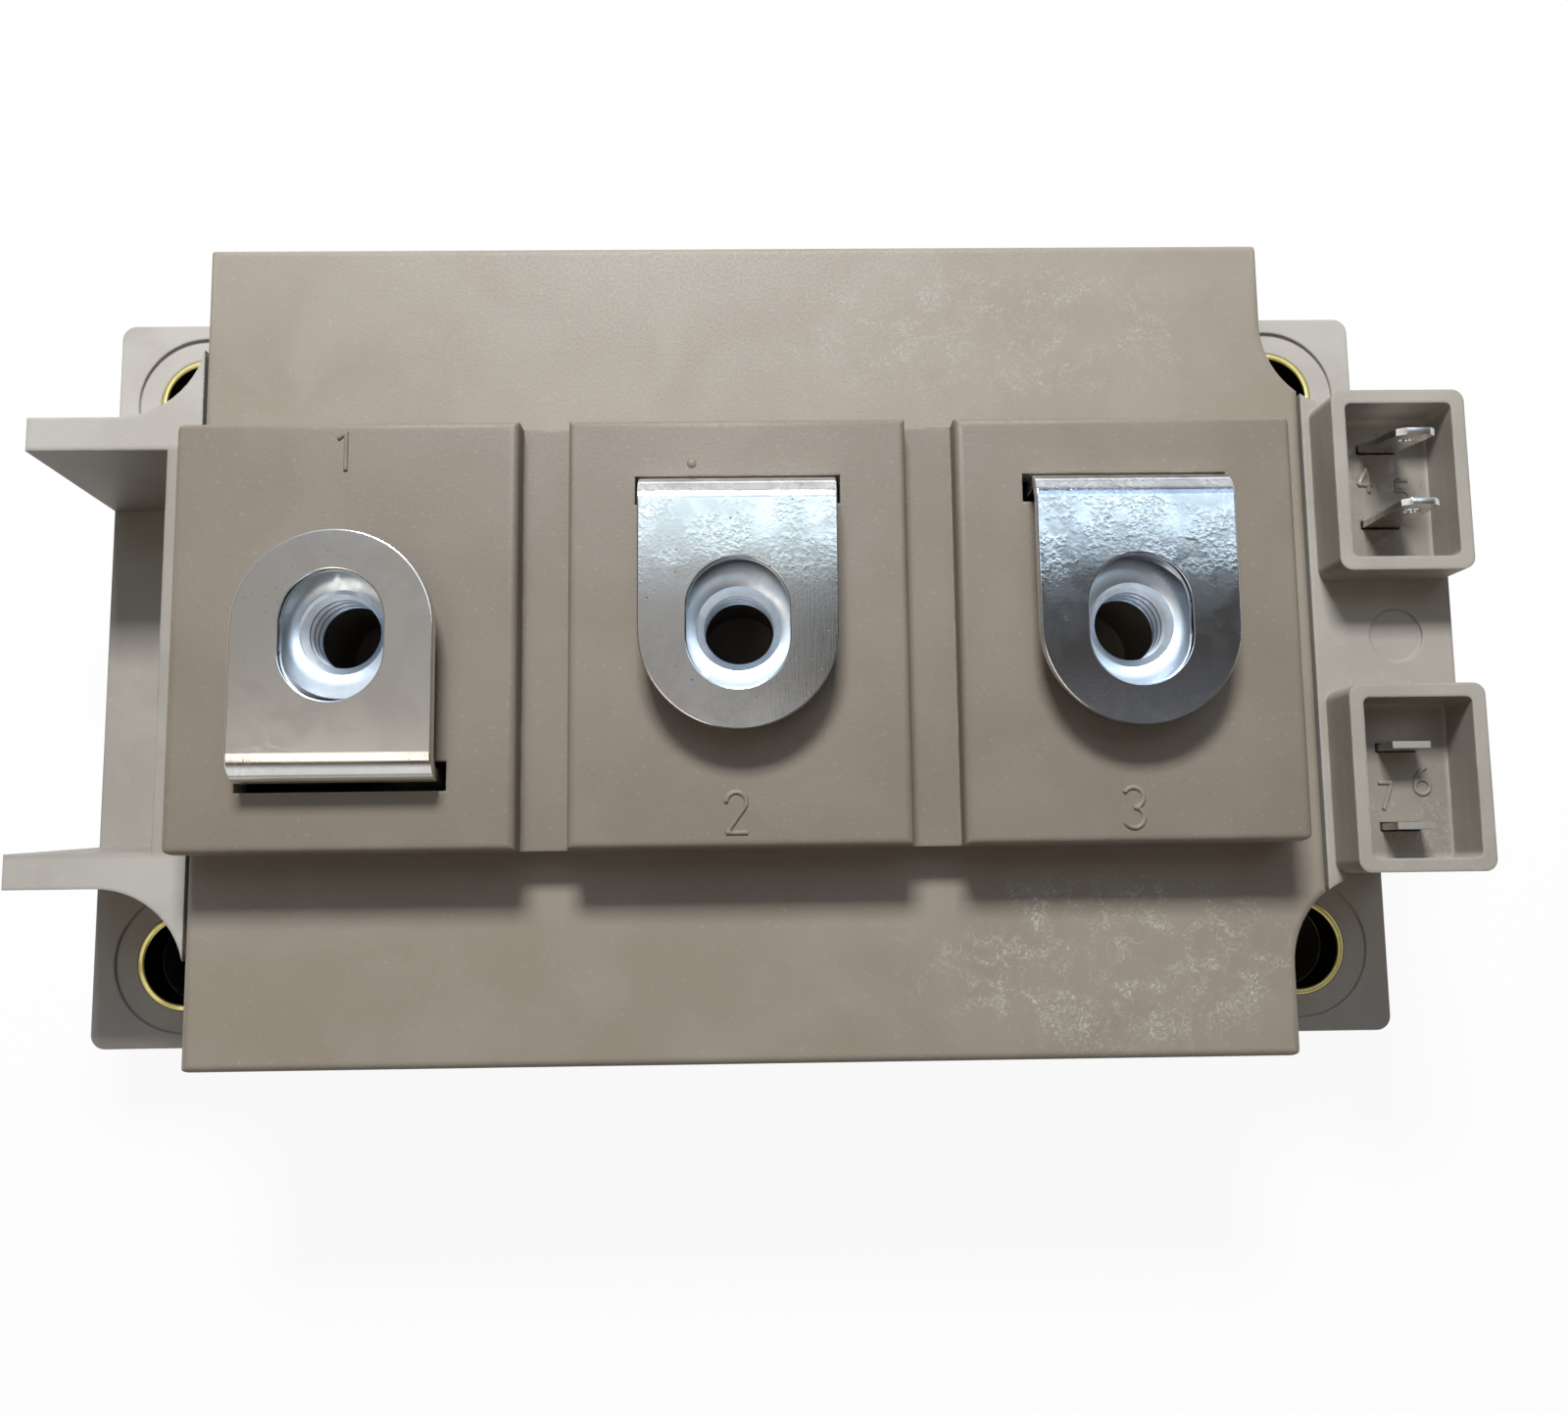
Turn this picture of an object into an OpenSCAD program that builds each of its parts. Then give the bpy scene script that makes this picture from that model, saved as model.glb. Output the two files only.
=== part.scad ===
/* [Overall] */
// Length of the housing, along X
housing_l = 108; // [104:0.5:116]
// Width of the housing, along Y
housing_w = 62; // [60:0.5:70]
// Height of the top face of the mounting ears
ear_top = 7; // [6:0.1:9]
// Drop from the top of the lid to the case ribs and the signal ledge
ledge_drop = 0.4; // [0.2:0.1:1]
// Thickness of the moulded side walls
wall_t = 2.2; // [1.6:0.1:2.8]
// Radius of the four outer corners
ear_corner_r = 1.2; // [0.6:0.1:2.5]

/* [Base plate] */
// Thickness of the copper base plate
plate_t = 3; // [2.5:0.1:4]
// Margin between the base plate and the edge of the housing
plate_margin = 0.8; // [0.5:0.1:1.5]
// Height that the base plate stands proud of the case
plate_proud = 0.5; // [0.2:0.1:1]
// Clearance between the base plate and its recess
plate_gap = 0.1; // [0.05:0.05:0.3]

/* [Mounting holes] */
// Distance from the ends of the housing to the mounting holes
hole_inset_x = 7.5; // [7:0.1:8]
// Distance from the sides of the housing to the mounting holes
hole_inset_y = 7; // [6.6:0.1:7.5]
// Bore of the mounting bushes and of the base plate
hole_d = 7; // [6.2:0.1:7.4]
// Wall of the rolled mounting bushes
bush_wall = 0.55; // [0.4:0.05:0.9]
// Diameter of the shallow spot face for the washer
spot_d = 11.7; // [10.4:0.1:11.8]
// Depth of the spot face
spot_depth = 0.3; // [0.1:0.05:0.6]
// Height that a bush stands above its spot face
bush_proud = 0.1; // [0:0.05:0.2]

/* [Corner notches] */
// Length of a corner notch along X
notch_l = 13.4; // [13:0.1:14.5]
// Width of a corner notch along Y
notch_w = 13.2; // [12.6:0.1:14]
// Radius of the inner corner of a notch
notch_r = 6.7; // [6:0.1:7.5]
// Radius of the upright outer corners beside the notches
step_corner_r = 0.8; // [0.4:0.1:1.5]

/* [Left end] */
// Depth of the left pocket along X
pocket_l = 10.7; // [9:0.1:11.4]
// Thickness of the two left ribs at their top
rib_t = 2.6; // [2:0.1:3.2]
// Draft of the inner faces of the left ribs, in degrees
rib_draft = 3; // [0.5:0.5:4]

/* [Lid] */
// Height of the flat top face of the lid
lid_top = 22; // [21.8:0.1:24]
// Thickness of the lid plate
lid_t = 2.6; // [2:0.1:3]
// Distance from the left end of the housing to the lid
lid_inset_left = 13.5; // [13.2:0.1:14.5]
// Distance from the right end of the housing to the lid
lid_inset_right = 10.8; // [10.2:0.1:11.4]
// Gap between the lid and the parts of the case beside it
lid_gap = 0.25; // [0.1:0.05:0.4]
// Radius of the rounded upper edges of the lid
edge_r = 0.6; // [0.3:0.1:1]
// Depth of the skirt that locates the lid in the case
skirt_h = 3; // [2:0.1:3.4]
// Thickness of the skirt
skirt_t = 1.4; // [1:0.1:2]
// Clearance between the skirt and the case
skirt_gap = 0.15; // [0.05:0.05:0.3]

/* [Terminal plateau] */
// Distance from the left edge of the lid to the plateau
plateau_inset = 0.1; // [0:0.1:0.6]
// Width of the plateau
plateau_w = 31; // [30:0.5:33]
// Height of the plateau above the flat top of the lid
plateau_h = 5; // [4.4:0.1:5.6]
// Radius of the upright corners of the plateau
plateau_corner_r = 0.9; // [0.4:0.1:1.5]
// Width of the creepage grooves between the terminals
groove_w = 3.6; // [2.5:0.1:4.2]
// Depth of the creepage grooves
groove_depth = 2.3; // [1.5:0.1:2.6]

/* [Main terminals] */
// Distance from the slot of an end terminal to the end of the plateau
slot_margin = 5; // [4:0.1:5.4]
// Width of a terminal tab
tab_w = 14; // [13:0.2:14.6]
// Thickness of the terminal strip
strip_t = 1; // [0.8:0.1:1.2]
// Height of the underside of the tabs above the plateau
tab_lift = 2; // [1.2:0.1:3]
// Width of the oblong hole in a tab
tab_hole_w = 7.2; // [6.6:0.1:8]
// Length of the oblong hole in a tab
tab_hole_l = 9.2; // [8.2:0.1:9.6]
// Reach of the round end beyond the middle of its hole
tab_reach = 7.45; // [7:0.05:8]
// Set-back of the first, second and third tab towards their risers
tab_setback = [0.6, 0, 0]; // [0:0.1:0.8]
// Outer face of the risers, from the middle
riser_y = 10.7; // [10.4:0.1:11.5]
// Outer radius of the fold
fold_r = 2; // [1.4:0.1:2.6]
// Width of a soldered leg
leg_w = 4.4; // [3:0.1:5]
// Length of a soldered foot
foot_l = 4; // [2.5:0.5:5]
// Height at which a riser splits into its legs
leg_split_z = 11; // [8:0.5:12]
// Width of the slot that a riser passes through
riser_slot_w = 2.1; // [1.6:0.1:2.6]
// Side clearance of a tab in its slot
riser_slot_gap = 0.4; // [0.2:0.05:0.6]

/* [Nuts] */
// Thread diameter of the captive nuts
thread_d = 6; // [5:1:6]
// Tapping bore of the nuts
nut_bore_d = 5; // [4.2:0.1:5.2]
// Width across the flats
nut_af = 10; // [9:0.5:11]
// Height of a nut
nut_h = 5; // [4:0.1:5.2]
// Clearance of a nut in its pocket, all round
nut_gap = 0.1; // [0.05:0.05:0.3]
// Height that a nut stands above the plateau
nut_proud = 0.6; // [0:0.1:1]
// Wall of the pockets that hold the nuts
nut_wall = 1.7; // [1.2:0.1:2]
// Diameter of the wells for the screw ends
screw_well_d = 7; // [6.4:0.1:7.6]
// Wall of the screw wells
screw_well_wall = 1.5; // [1:0.1:2]
// Gap between the gel and the closed bottom of the screw wells
screw_well_gap = 0.4; // [0.2:0.1:1]

/* [Signal wells] */
// Length of a well along X, outside
well_l = 9.95; // [9:0.05:10.2]
// Width of a well along Y, outside
well_w = 13.6; // [13:0.1:14]
// Height of the rims of the wells above the ledge
well_h = 4.1; // [3:0.1:5]
// Thickness of the well walls
well_wall = 1; // [0.8:0.1:1.3]
// Radius of the outer corners of a well
well_r = 0.9; // [0.5:0.1:1.2]

/* [Signal leads] */
// Width of a signal tab
lead_w = 2.8; // [2:0.1:3]
// Thickness of a signal tab
lead_t = 0.5; // [0.4:0.1:0.8]
// Distance from the right end to the middle of the signal tabs
lead_inset = 4.95; // [4.5:0.05:5.5]
// Distance from the middle of a well to the middle of its pair of tabs, along Y
lead_shift = 0.5; // [0:0.1:0.6]
// Pitch of the two tabs of a pair
lead_pitch = 5.9; // [5.5:0.1:6]
// Lengths of the four tabs above the ledge: the last two are broken short
lead_rises = [7, 7, 2.7, 2.7]; // [1:0.1:7.6]
// Lean of each tab above the ledge, in degrees
lead_lean = [6, 0, 0, 0]; // [0:1:8]
// Diameter of the hole in a full tab
lead_hole_d = 1.2; // [0.8:0.1:1.4]
// Width of the shoulder that stops a lead under the ledge
shoulder_w = 4.2; // [3.4:0.1:4.6]
// Height of the horizontal arm of a lead
arm_z = 13.5; // [13:0.1:14.2]
// Depth of the horizontal arm of a lead
arm_h = 2; // [1.2:0.1:2.2]
// Clearance of a lead in the slot of the ledge
lead_gap = 0.1; // [0.05:0.05:0.2]

/* [Circuit boards inside] */
// Margin between the ceramic boards and the end walls of the case
board_margin = 0.9; // [0.5:0.1:1.5]
// Margin between the ceramic boards and the side walls of the case
board_side_margin = 5.8; // [4:0.1:6]
// Gap between the two boards
board_gap = 1; // [0.6:0.2:1.6]
// Thickness of the ceramic
ceramic_t = 0.4; // [0.3:0.05:0.7]
// Thickness of each copper layer
copper_t = 0.3; // [0.2:0.05:0.5]
// Bare margin of ceramic round the copper
copper_margin = 1; // [0.6:0.1:1.5]
// Gap between neighbouring tracks
track_gap = 1; // [0.6:0.1:1.2]
// Width of the emitter tracks
emitter_track_w = 7; // [6.4:0.2:7.4]
// Margin between the switch chips and the edges of their track
chip_margin = 1.5; // [1:0.1:2]
// Gap between two neighbouring chips
chip_gap = 1; // [0.6:0.1:1.5]
// Length of a diode chip
diode_chip_l = 7.5; // [6:0.5:8.5]
// Thickness of the chips
chip_t = 0.25; // [0.15:0.05:0.4]
// Diameter of the bond wires
wire_d = 0.4; // [0.3:0.05:0.5]
// Height of the top of the silicone gel
gel_top = 10.5; // [8:0.5:12]

/* [Hidden] */
$fn = 48;
tiny = 0.01;
sink = 0.5;                                  // how far a joined shape reaches into its neighbour

hole_pitch_x = housing_l - 2 * hole_inset_x;
hole_pitch_y = housing_w - 2 * hole_inset_y;
notch_x = housing_l / 2 - notch_l;           // sides of the corner notches, from the middle
notch_y = housing_w / 2 - notch_w;
end_wall_x = housing_l / 2 - pocket_l;       // end wall behind the left pocket
lid_left = housing_l / 2 - lid_inset_left;   // edges of the lid, from the middle
lid_right = housing_l / 2 - lid_inset_right;

case_z0 = plate_proud;                       // underside of the moulded case
case_top = lid_top - ledge_drop;             // face of the case ribs and of the signal ledge
plateau_top = lid_top + plateau_h;
tab_top = plateau_top + tab_lift + strip_t;
well_top = case_top + well_h;
screw_well_z = gel_top + screw_well_gap + screw_well_wall;
plate_l = housing_l - 2 * plate_margin;
plate_w = housing_w - 2 * plate_margin;
plate_r = 2;
seat_z = lid_top - lid_t;                    // face of the case that carries the lid
cavity_x = notch_x - wall_t;                 // half length of the chip chamber
cavity_y = housing_w / 2 - wall_t;
bay_x = housing_l / 2 - wall_t;              // end of the bay under the signal ledge
bay_y = notch_y - wall_t;
bay_roof = case_top - wall_t;
bush_d = hole_d + 2 * bush_wall;
spot_z = ear_top - spot_depth;
ledge_x = lid_right + lid_gap;               // left edge of the signal ledge

plateau_l = 2 * (lid_left - plateau_inset);
slot_l = tab_w + 2 * riser_slot_gap;
terminal_pitch = (plateau_l - slot_l) / 2 - slot_margin;
groove_floor = plateau_top - groove_depth;
roof_t = wall_t + 0.2;                       // moulded roof over the hollow blocks
block_roof = plateau_top - roof_t;
groove_roof = groove_floor - roof_t;
nut_z = plateau_top + nut_proud - nut_h;     // underside of the nuts
nut_shelf_z = nut_z - wall_t;
riser_mid = riser_y - strip_t / 2;
hex = 1 / cos(30);                           // corners of a hexagon over its flats

well_x = housing_l / 2 - well_l / 2;
well_y = notch_y - well_w / 2;
lead_x = housing_l / 2 - lead_inset;
lead_pair_y = well_y + lead_shift;
lead_ys = [for (side = [1, -1]) for (k = [1, -1]) side * lead_pair_y + k * lead_pitch / 2];
tab_hole_drop = 1.9;                         // from the top of a signal tab to its hole

board_l = cavity_x - board_gap / 2 - board_margin;
board_w = 2 * (cavity_y - board_side_margin);
board_x = (board_l + board_gap) / 2;
ceramic_z = plate_t + copper_t;
track_z = ceramic_z + ceramic_t;
chip_z = track_z + copper_t;                 // faces of the tracks, where chips, legs and leads are soldered
wire_z = chip_z + chip_t;
copper_x = board_l / 2 - copper_margin;      // half sizes of the copper on a board
copper_y = board_w / 2 - copper_margin;
emitter_x = copper_x - emitter_track_w;
emitter_y = 3;                               // lower end of the emitter track
pad_l = 3;                                   // side of a square signal pad
pad_x = emitter_x - track_gap - pad_l / 2;
chip_run = pad_x - pad_l / 2 + copper_x - 2 * chip_margin;
switch_chip_l = (chip_run - chip_gap) / 2;
chip_xs = [for (k = [0, 1]) chip_margin - copper_x + switch_chip_l / 2 + k * (switch_chip_l + chip_gap)];
switch_y = lead_pair_y + 0.5;                // rows of chips on a board
diode_y = -1.5;
wire_pitch = 2.2;
wire_foot_l = 2 * wire_d;
wire_inset = 2;                              // from the edge of a switch chip to the foot of a wire
diode_wire_inset = 1.5;
gate_wire_shift = 1.2;                       // from the middle of a signal pad to its wire
emitter_wire_inset = 0.9;
link_wire_inset = 2.5;
link_x = board_gap / 2 + copper_margin + link_wire_inset;
link_count = 6;
link_edge = 5;                               // from the edge of the copper to the first link wire
lead_leg_w = 1.6;                            // soldered leg and foot of a signal lead
lead_foot_l = 1.8;
copper = [0.80, 0.50, 0.32];

ejector_r = 2;
ejector_depth = 0.15;
ejector_y = 10;
ejector_inset = 4.3;                         // from the end wall to the marks in the left pocket

// ---------- shared outlines ----------

module rounded_rect(l, w, r) {
    square([l - 2 * r, w], center = true);
    square([l, w - 2 * r], center = true);
    for (sx = [-1, 1], sy = [-1, 1])
        translate([sx * (l / 2 - r), sy * (w / 2 - r)]) circle(r);
}

// A bar of width w and height h, standing on the origin, with round upper corners
module round_top_bar(w, h, r) {
    translate([-w / 2, 0]) square([w, h - r]);
    translate([-w / 2 + r, 0]) square([w - 2 * r, h]);
    for (s = [-1, 1]) translate([s * (w / 2 - r), h - r]) circle(r);
}

// Extrudes a profile, drawn as Y and Z, along X
module along_x(l) {
    rotate([90, 0, 90]) translate([0, 0, -l / 2]) linear_extrude(l) children();
}

// Extrudes a profile, drawn as X and Z, along Y
module along_y(l) {
    rotate([90, 0, 0]) translate([0, 0, -l / 2]) linear_extrude(l) children();
}

module at_mounting_holes() {
    for (sx = [-1, 1], sy = [-1, 1])
        translate([sx * hole_pitch_x / 2, sy * hole_pitch_y / 2, 0]) children();
}

// Space round one mounting screw, in the corner where X and Y are positive
module corner_notch() {
    translate([notch_x + notch_r, notch_y]) square([housing_l / 2, housing_w / 2]);
    translate([notch_x, notch_y + notch_r]) square([housing_l / 2, housing_w / 2]);
    translate([notch_x + notch_r, notch_y + notch_r]) circle(notch_r);
}

// What a rounded edge takes away: the corner is at the origin, and the solid lies at X > 0 and Y < 0
module edge_waste(r) {
    difference() {
        translate([-tiny, -r]) square(r + tiny);
        translate([r, -r]) circle(r);
    }
}

// Waste of the lid's rounded upper edge at one notch: round its curved corner and along its side
module notch_edge_waste() {
    translate([notch_x + notch_r, notch_y + notch_r, lid_top]) {
        rotate_extrude() translate([notch_r, 0]) edge_waste(edge_r);
        translate([-notch_r, housing_w / 2, 0]) along_y(housing_w) mirror([1, 0]) edge_waste(edge_r);
    }
}

module notched_outline() {
    difference() {
        union() {
            rounded_rect(2 * notch_x, housing_w, step_corner_r);
            square([housing_l, 2 * (notch_y + notch_r)], center = true);
        }
        for (mx = [0, 1], my = [0, 1]) mirror([mx, 0]) mirror([0, my]) corner_notch();
    }
}

// ---------- base plate, case and bushes ----------

module base_plate() {
    color([0.74, 0.72, 0.68])
    difference() {
        linear_extrude(plate_t) rounded_rect(plate_l, plate_w, plate_r);
        at_mounting_holes() translate([0, 0, -tiny]) cylinder(d = hole_d, h = plate_t + 2 * tiny);
    }
}

// Pocket between the two left ribs, with drafted sides
module left_pocket() {
    half_top = notch_y - rib_t;
    depth = case_top - ear_top;
    half_foot = half_top - depth * tan(rib_draft);
    translate([-end_wall_x - housing_l / 2, 0, ear_top]) along_x(housing_l)
        polygon([[-half_foot, 0], [half_foot, 0], [half_top + tan(rib_draft), depth + 1],
                 [-half_top - tan(rib_draft), depth + 1]]);
}

module signal_well(side) {
    translate([well_x, side * well_y, case_top - sink]) linear_extrude(well_top - case_top + sink)
        rounded_rect(well_l, well_w, well_r);
}

module signal_well_inside(side) {
    translate([well_x, side * well_y, case_top]) linear_extrude(well_top)
        rounded_rect(well_l - 2 * well_wall, well_w - 2 * well_wall, well_r / 2);
}

module lead_slot(y) {
    translate([lead_x, y, case_top])
        cube([lead_w + 2 * lead_gap, lead_t + 2 * lead_gap, 4 * wall_t], center = true);
}

module chip_chamber() {
    translate([-cavity_x, -cavity_y, case_z0]) cube([2 * cavity_x, 2 * cavity_y, case_top]);
    translate([0, -bay_y, case_z0]) cube([bay_x, 2 * bay_y, bay_roof - case_z0]);
}

module ejector_mark(x, y, z) {
    translate([x, y, z - ejector_depth]) cylinder(r = ejector_r, h = 1);
}

module case_frame() {
    color([0.63, 0.61, 0.57])
    difference() {
        union() {
            translate([0, 0, case_z0]) linear_extrude(ear_top - case_z0)
                rounded_rect(housing_l, housing_w, ear_corner_r);
            difference() {
                translate([0, 0, ear_top - sink]) linear_extrude(case_top - ear_top + sink) notched_outline();
                left_pocket();
            }
            for (side = [-1, 1]) signal_well(side);
        }
        // recess that takes the base plate
        linear_extrude(plate_t) rounded_rect(plate_l + 2 * plate_gap, plate_w + 2 * plate_gap, plate_r);
        chip_chamber();
        // open seat for the lid
        translate([-lid_left - lid_gap, -housing_w, seat_z])
            cube([lid_left + lid_gap + ledge_x, 2 * housing_w, case_top]);
        for (side = [-1, 1]) signal_well_inside(side);
        for (y = lead_ys) lead_slot(y);
        at_mounting_holes() {
            cylinder(d = bush_d, h = ear_top + 1);
            translate([0, 0, spot_z]) cylinder(d = spot_d, h = 1);
        }
        ejector_mark(well_x + 0.7, 0, case_top);
        for (s = [-1, 1]) ejector_mark(-end_wall_x - ejector_inset, s * ejector_y, ear_top);
    }
}

module mounting_bush(sx, sy) {
    color([0.80, 0.72, 0.42])
    translate([sx * hole_pitch_x / 2, sy * hole_pitch_y / 2, plate_t])
    difference() {
        cylinder(d = bush_d, h = spot_z + bush_proud - plate_t);
        translate([0, 0, -1]) cylinder(d = hole_d, h = ear_top);
    }
}

// ---------- lid ----------

module lid_outline() {
    intersection() {
        notched_outline();
        translate([-lid_left, -housing_w / 2]) square([lid_left + lid_right, housing_w]);
    }
}

module lid_plate() {
    mid = (lid_right - lid_left) / 2;
    difference() {
        intersection() {
            translate([0, 0, seat_z]) linear_extrude(lid_t) lid_outline();
            translate([0, 0, seat_z]) along_x(housing_l) round_top_bar(housing_w, lid_t, edge_r);
            translate([mid, 0, seat_z]) along_y(housing_w) round_top_bar(lid_left + lid_right, lid_t, edge_r);
        }
        for (my = [0, 1]) mirror([0, my, 0]) notch_edge_waste();
    }
}

// Three blocks in a row, with the creepage grooves between them
module plateau_profile() {
    base_z = seat_z + tiny;
    end_block = (plateau_l - terminal_pitch - groove_w) / 2;
    end_x = plateau_l / 2 - end_block / 2;
    translate([-plateau_l / 2, base_z]) square([plateau_l, groove_floor - base_z]);
    translate([0, base_z]) round_top_bar(terminal_pitch - groove_w, plateau_top - base_z, edge_r);
    for (s = [-1, 1]) translate([s * end_x, base_z]) round_top_bar(end_block, plateau_top - base_z, edge_r);
}

module plateau() {
    intersection() {
        along_y(plateau_w) plateau_profile();
        translate([0, 0, seat_z]) along_x(plateau_l) round_top_bar(plateau_w, plateau_top - seat_z, edge_r);
        translate([0, 0, seat_z]) linear_extrude(plateau_top)
            rounded_rect(plateau_l, plateau_w, plateau_corner_r);
    }
}

module plateau_hollow() {
    inner_w = plateau_w - 2 * wall_t;
    mid_l = terminal_pitch - groove_w - 2 * wall_t;
    end_x0 = (terminal_pitch + groove_w) / 2 + wall_t;
    end_l = plateau_l / 2 - wall_t - end_x0;
    translate([0, -inner_w / 2, 0]) {
        translate([-plateau_l / 2 + wall_t, 0, 0]) cube([plateau_l - 2 * wall_t, inner_w, groove_roof]);
        translate([-mid_l / 2, 0, 0]) cube([mid_l, inner_w, block_roof]);
        for (m = [0, 1]) mirror([m, 0, 0]) translate([end_x0, 0, 0]) cube([end_l, inner_w, block_roof]);
    }
}

module lid_skirt() {
    l = 2 * (cavity_x - skirt_gap);
    w = 2 * (cavity_y - skirt_gap);
    translate([0, 0, seat_z - skirt_h]) linear_extrude(skirt_h + sink) difference() {
        square([l, w], center = true);
        square([l - 2 * skirt_t, w - 2 * skirt_t], center = true);
        // open beside the bay of the signal leads
        translate([0, -bay_y]) square([l, 2 * bay_y]);
    }
}

// Hexagonal nut pocket and closed well for the end of the screw
module nut_boss() {
    boss_d = (nut_af + 2 * nut_gap + 2 * nut_wall) * hex;
    translate([0, 0, nut_shelf_z]) rotate(30)
        cylinder(d = boss_d, h = block_roof - nut_shelf_z + sink, $fn = 6);
    translate([0, 0, screw_well_z - screw_well_wall])
        cylinder(d = screw_well_d + 2 * screw_well_wall, h = nut_z - screw_well_z + screw_well_wall);
}

module nut_boss_inside() {
    translate([0, 0, nut_z]) rotate(30)
        cylinder(d = (nut_af + 2 * nut_gap) * hex, h = nut_h + 1, $fn = 6);
    translate([0, 0, screw_well_z]) cylinder(d = screw_well_d, h = nut_h + nut_z - screw_well_z);
}

module lid() {
    color([0.57, 0.53, 0.48])
    difference() {
        union() {
            difference() {
                union() {
                    lid_plate();
                    plateau();
                }
                plateau_hollow();
            }
            lid_skirt();
            for (i = [-1, 0, 1]) translate([i * terminal_pitch, 0, 0]) nut_boss();
        }
        for (i = [-1, 0, 1]) {
            leg_side = i < 0 ? -1 : 1;
            translate([i * terminal_pitch, 0, 0]) nut_boss_inside();
            translate([i * terminal_pitch, leg_side * riser_mid, plateau_top])
                cube([slot_l, riser_slot_w, 4 * roof_t], center = true);
        }
    }
}

// ---------- terminals and nuts ----------

// Quarter ring that folds the tab into its riser
module fold() {
    along_x(tab_w) translate([riser_y - fold_r, tab_top - fold_r]) intersection() {
        difference() {
            circle(fold_r);
            circle(fold_r - strip_t);
        }
        square(2 * fold_r);
    }
}

// Round-ended tab with its oblong hole
module tab_outline(end_y, hole_y) {
    hole_run = (tab_hole_l - tab_hole_w) / 2;
    straight_y = riser_y - fold_r;
    difference() {
        union() {
            translate([-tab_w / 2, end_y]) square([tab_w, straight_y - end_y]);
            translate([0, end_y]) circle(d = tab_w);
        }
        translate([-tab_hole_w / 2, hole_y - hole_run]) square([tab_hole_w, 2 * hole_run]);
        for (s = [-1, 1]) translate([0, hole_y + s * hole_run]) circle(d = tab_hole_w);
    }
}

// Folded strip with its riser towards +Y, split into soldered legs at leg_xs
module folded_terminal(setback, leg_xs) {
    translate([0, 0, tab_top - strip_t]) linear_extrude(strip_t)
        tab_outline(setback - tab_reach + tab_w / 2, setback);
    fold();
    translate([-tab_w / 2, riser_y - strip_t, leg_split_z])
        cube([tab_w, strip_t, tab_top - fold_r - leg_split_z]);
    for (x = leg_xs) translate([x - leg_w / 2, riser_y - strip_t, chip_z]) {
        cube([leg_w, strip_t, leg_split_z - chip_z]);
        cube([leg_w, foot_l, strip_t]);
    }
}

module main_terminal(i) {
    outer_leg = (tab_w - leg_w) / 2;
    color([0.78, 0.78, 0.77])
    translate([i * terminal_pitch, 0, 0]) mirror([0, i < 0 ? 1 : 0, 0])
        folded_terminal(tab_setback[i + 1], i == 0 ? [-outer_leg] : [-outer_leg, outer_leg]);
}

module terminal_nut(i) {
    crown_r = nut_af / 2 * 0.95;
    corner_r = nut_af / 2 * hex;
    crown_h = (corner_r - crown_r) * tan(30);
    sink_r = thread_d / 2 + 0.35;
    sink_h = sink_r - nut_bore_d / 2;
    color([0.72, 0.75, 0.80])
    translate([i * terminal_pitch, 0, nut_z])
    difference() {
        intersection() {
            rotate(30) cylinder(r = corner_r, h = nut_h, $fn = 6);
            rotate_extrude() polygon([[0, 0], [crown_r, 0], [corner_r, crown_h], [corner_r, nut_h - crown_h],
                                      [crown_r, nut_h], [0, nut_h]]);
        }
        translate([0, 0, -nut_h / 2]) cylinder(d = nut_bore_d, h = 2 * nut_h);
        rotate_extrude() polygon([[0, -tiny], [sink_r, -tiny], [0, sink_r]]);
        translate([0, 0, nut_h]) rotate_extrude() polygon([[0, tiny], [sink_r, tiny], [0, -sink_r]]);
    }
}

// ---------- signal leads ----------

// Outline of a tab above the ledge; a tab that was broken off has a square end and no hole
module lead_tab_outline(h, full) {
    cut = full ? lead_w / 5 : tiny;
    difference() {
        polygon([[-lead_w / 2, 0], [lead_w / 2, 0], [lead_w / 2, h - cut], [lead_w / 2 - cut, h],
                 [cut - lead_w / 2, h], [-lead_w / 2, h - cut]]);
        if (full) translate([0, h - tab_hole_drop]) circle(d = lead_hole_d);
    }
}

// One stamped lead: tab, shoulder, arm towards the boards and soldered leg
module signal_lead(n) {
    on_left = n < 2;
    end_x = on_left ? pad_x - board_x : board_x - pad_x;
    color([0.80, 0.80, 0.79])
    translate([0, lead_ys[n], 0]) {
        translate([lead_x, 0, case_top]) rotate([lead_lean[n], 0, 0]) translate([0, 0, -tiny]) along_y(lead_t)
            lead_tab_outline(lead_rises[n], lead_rises[n] > well_h);
        along_y(lead_t) {
            translate([lead_x - lead_w / 2, arm_z]) square([lead_w, case_top - arm_z]);
            translate([lead_x - shoulder_w / 2, bay_roof - arm_h]) square([shoulder_w, arm_h]);
            translate([end_x - lead_leg_w / 2, arm_z]) square([lead_x - end_x, arm_h]);
            translate([end_x - lead_leg_w / 2, chip_z]) square([lead_leg_w, arm_z - chip_z]);
        }
        translate([end_x - lead_leg_w / 2, -lead_foot_l / 2, chip_z]) cube([lead_leg_w, lead_foot_l, lead_t]);
    }
}

// ---------- boards, chips and wires ----------

// Places what is drawn for the left board; the right board is the same board turned half round
module on_board(side) {
    rotate(side < 0 ? 0 : 180) translate([-board_x, 0, 0]) children();
}

module back_copper(side) {
    color(copper)
    on_board(side) translate([0, 0, plate_t]) linear_extrude(copper_t)
        square([2 * copper_x, 2 * copper_y], center = true);
}

module ceramic_board(side) {
    color([0.93, 0.92, 0.88])
    on_board(side) translate([0, 0, ceramic_z]) linear_extrude(ceramic_t)
        square([board_l, board_w], center = true);
}

// Pads that the signal leads stand on
module signal_pads(margin) {
    for (n = [0, 1]) translate([pad_x, lead_ys[n]]) square(pad_l + 2 * margin, center = true);
}

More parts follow.
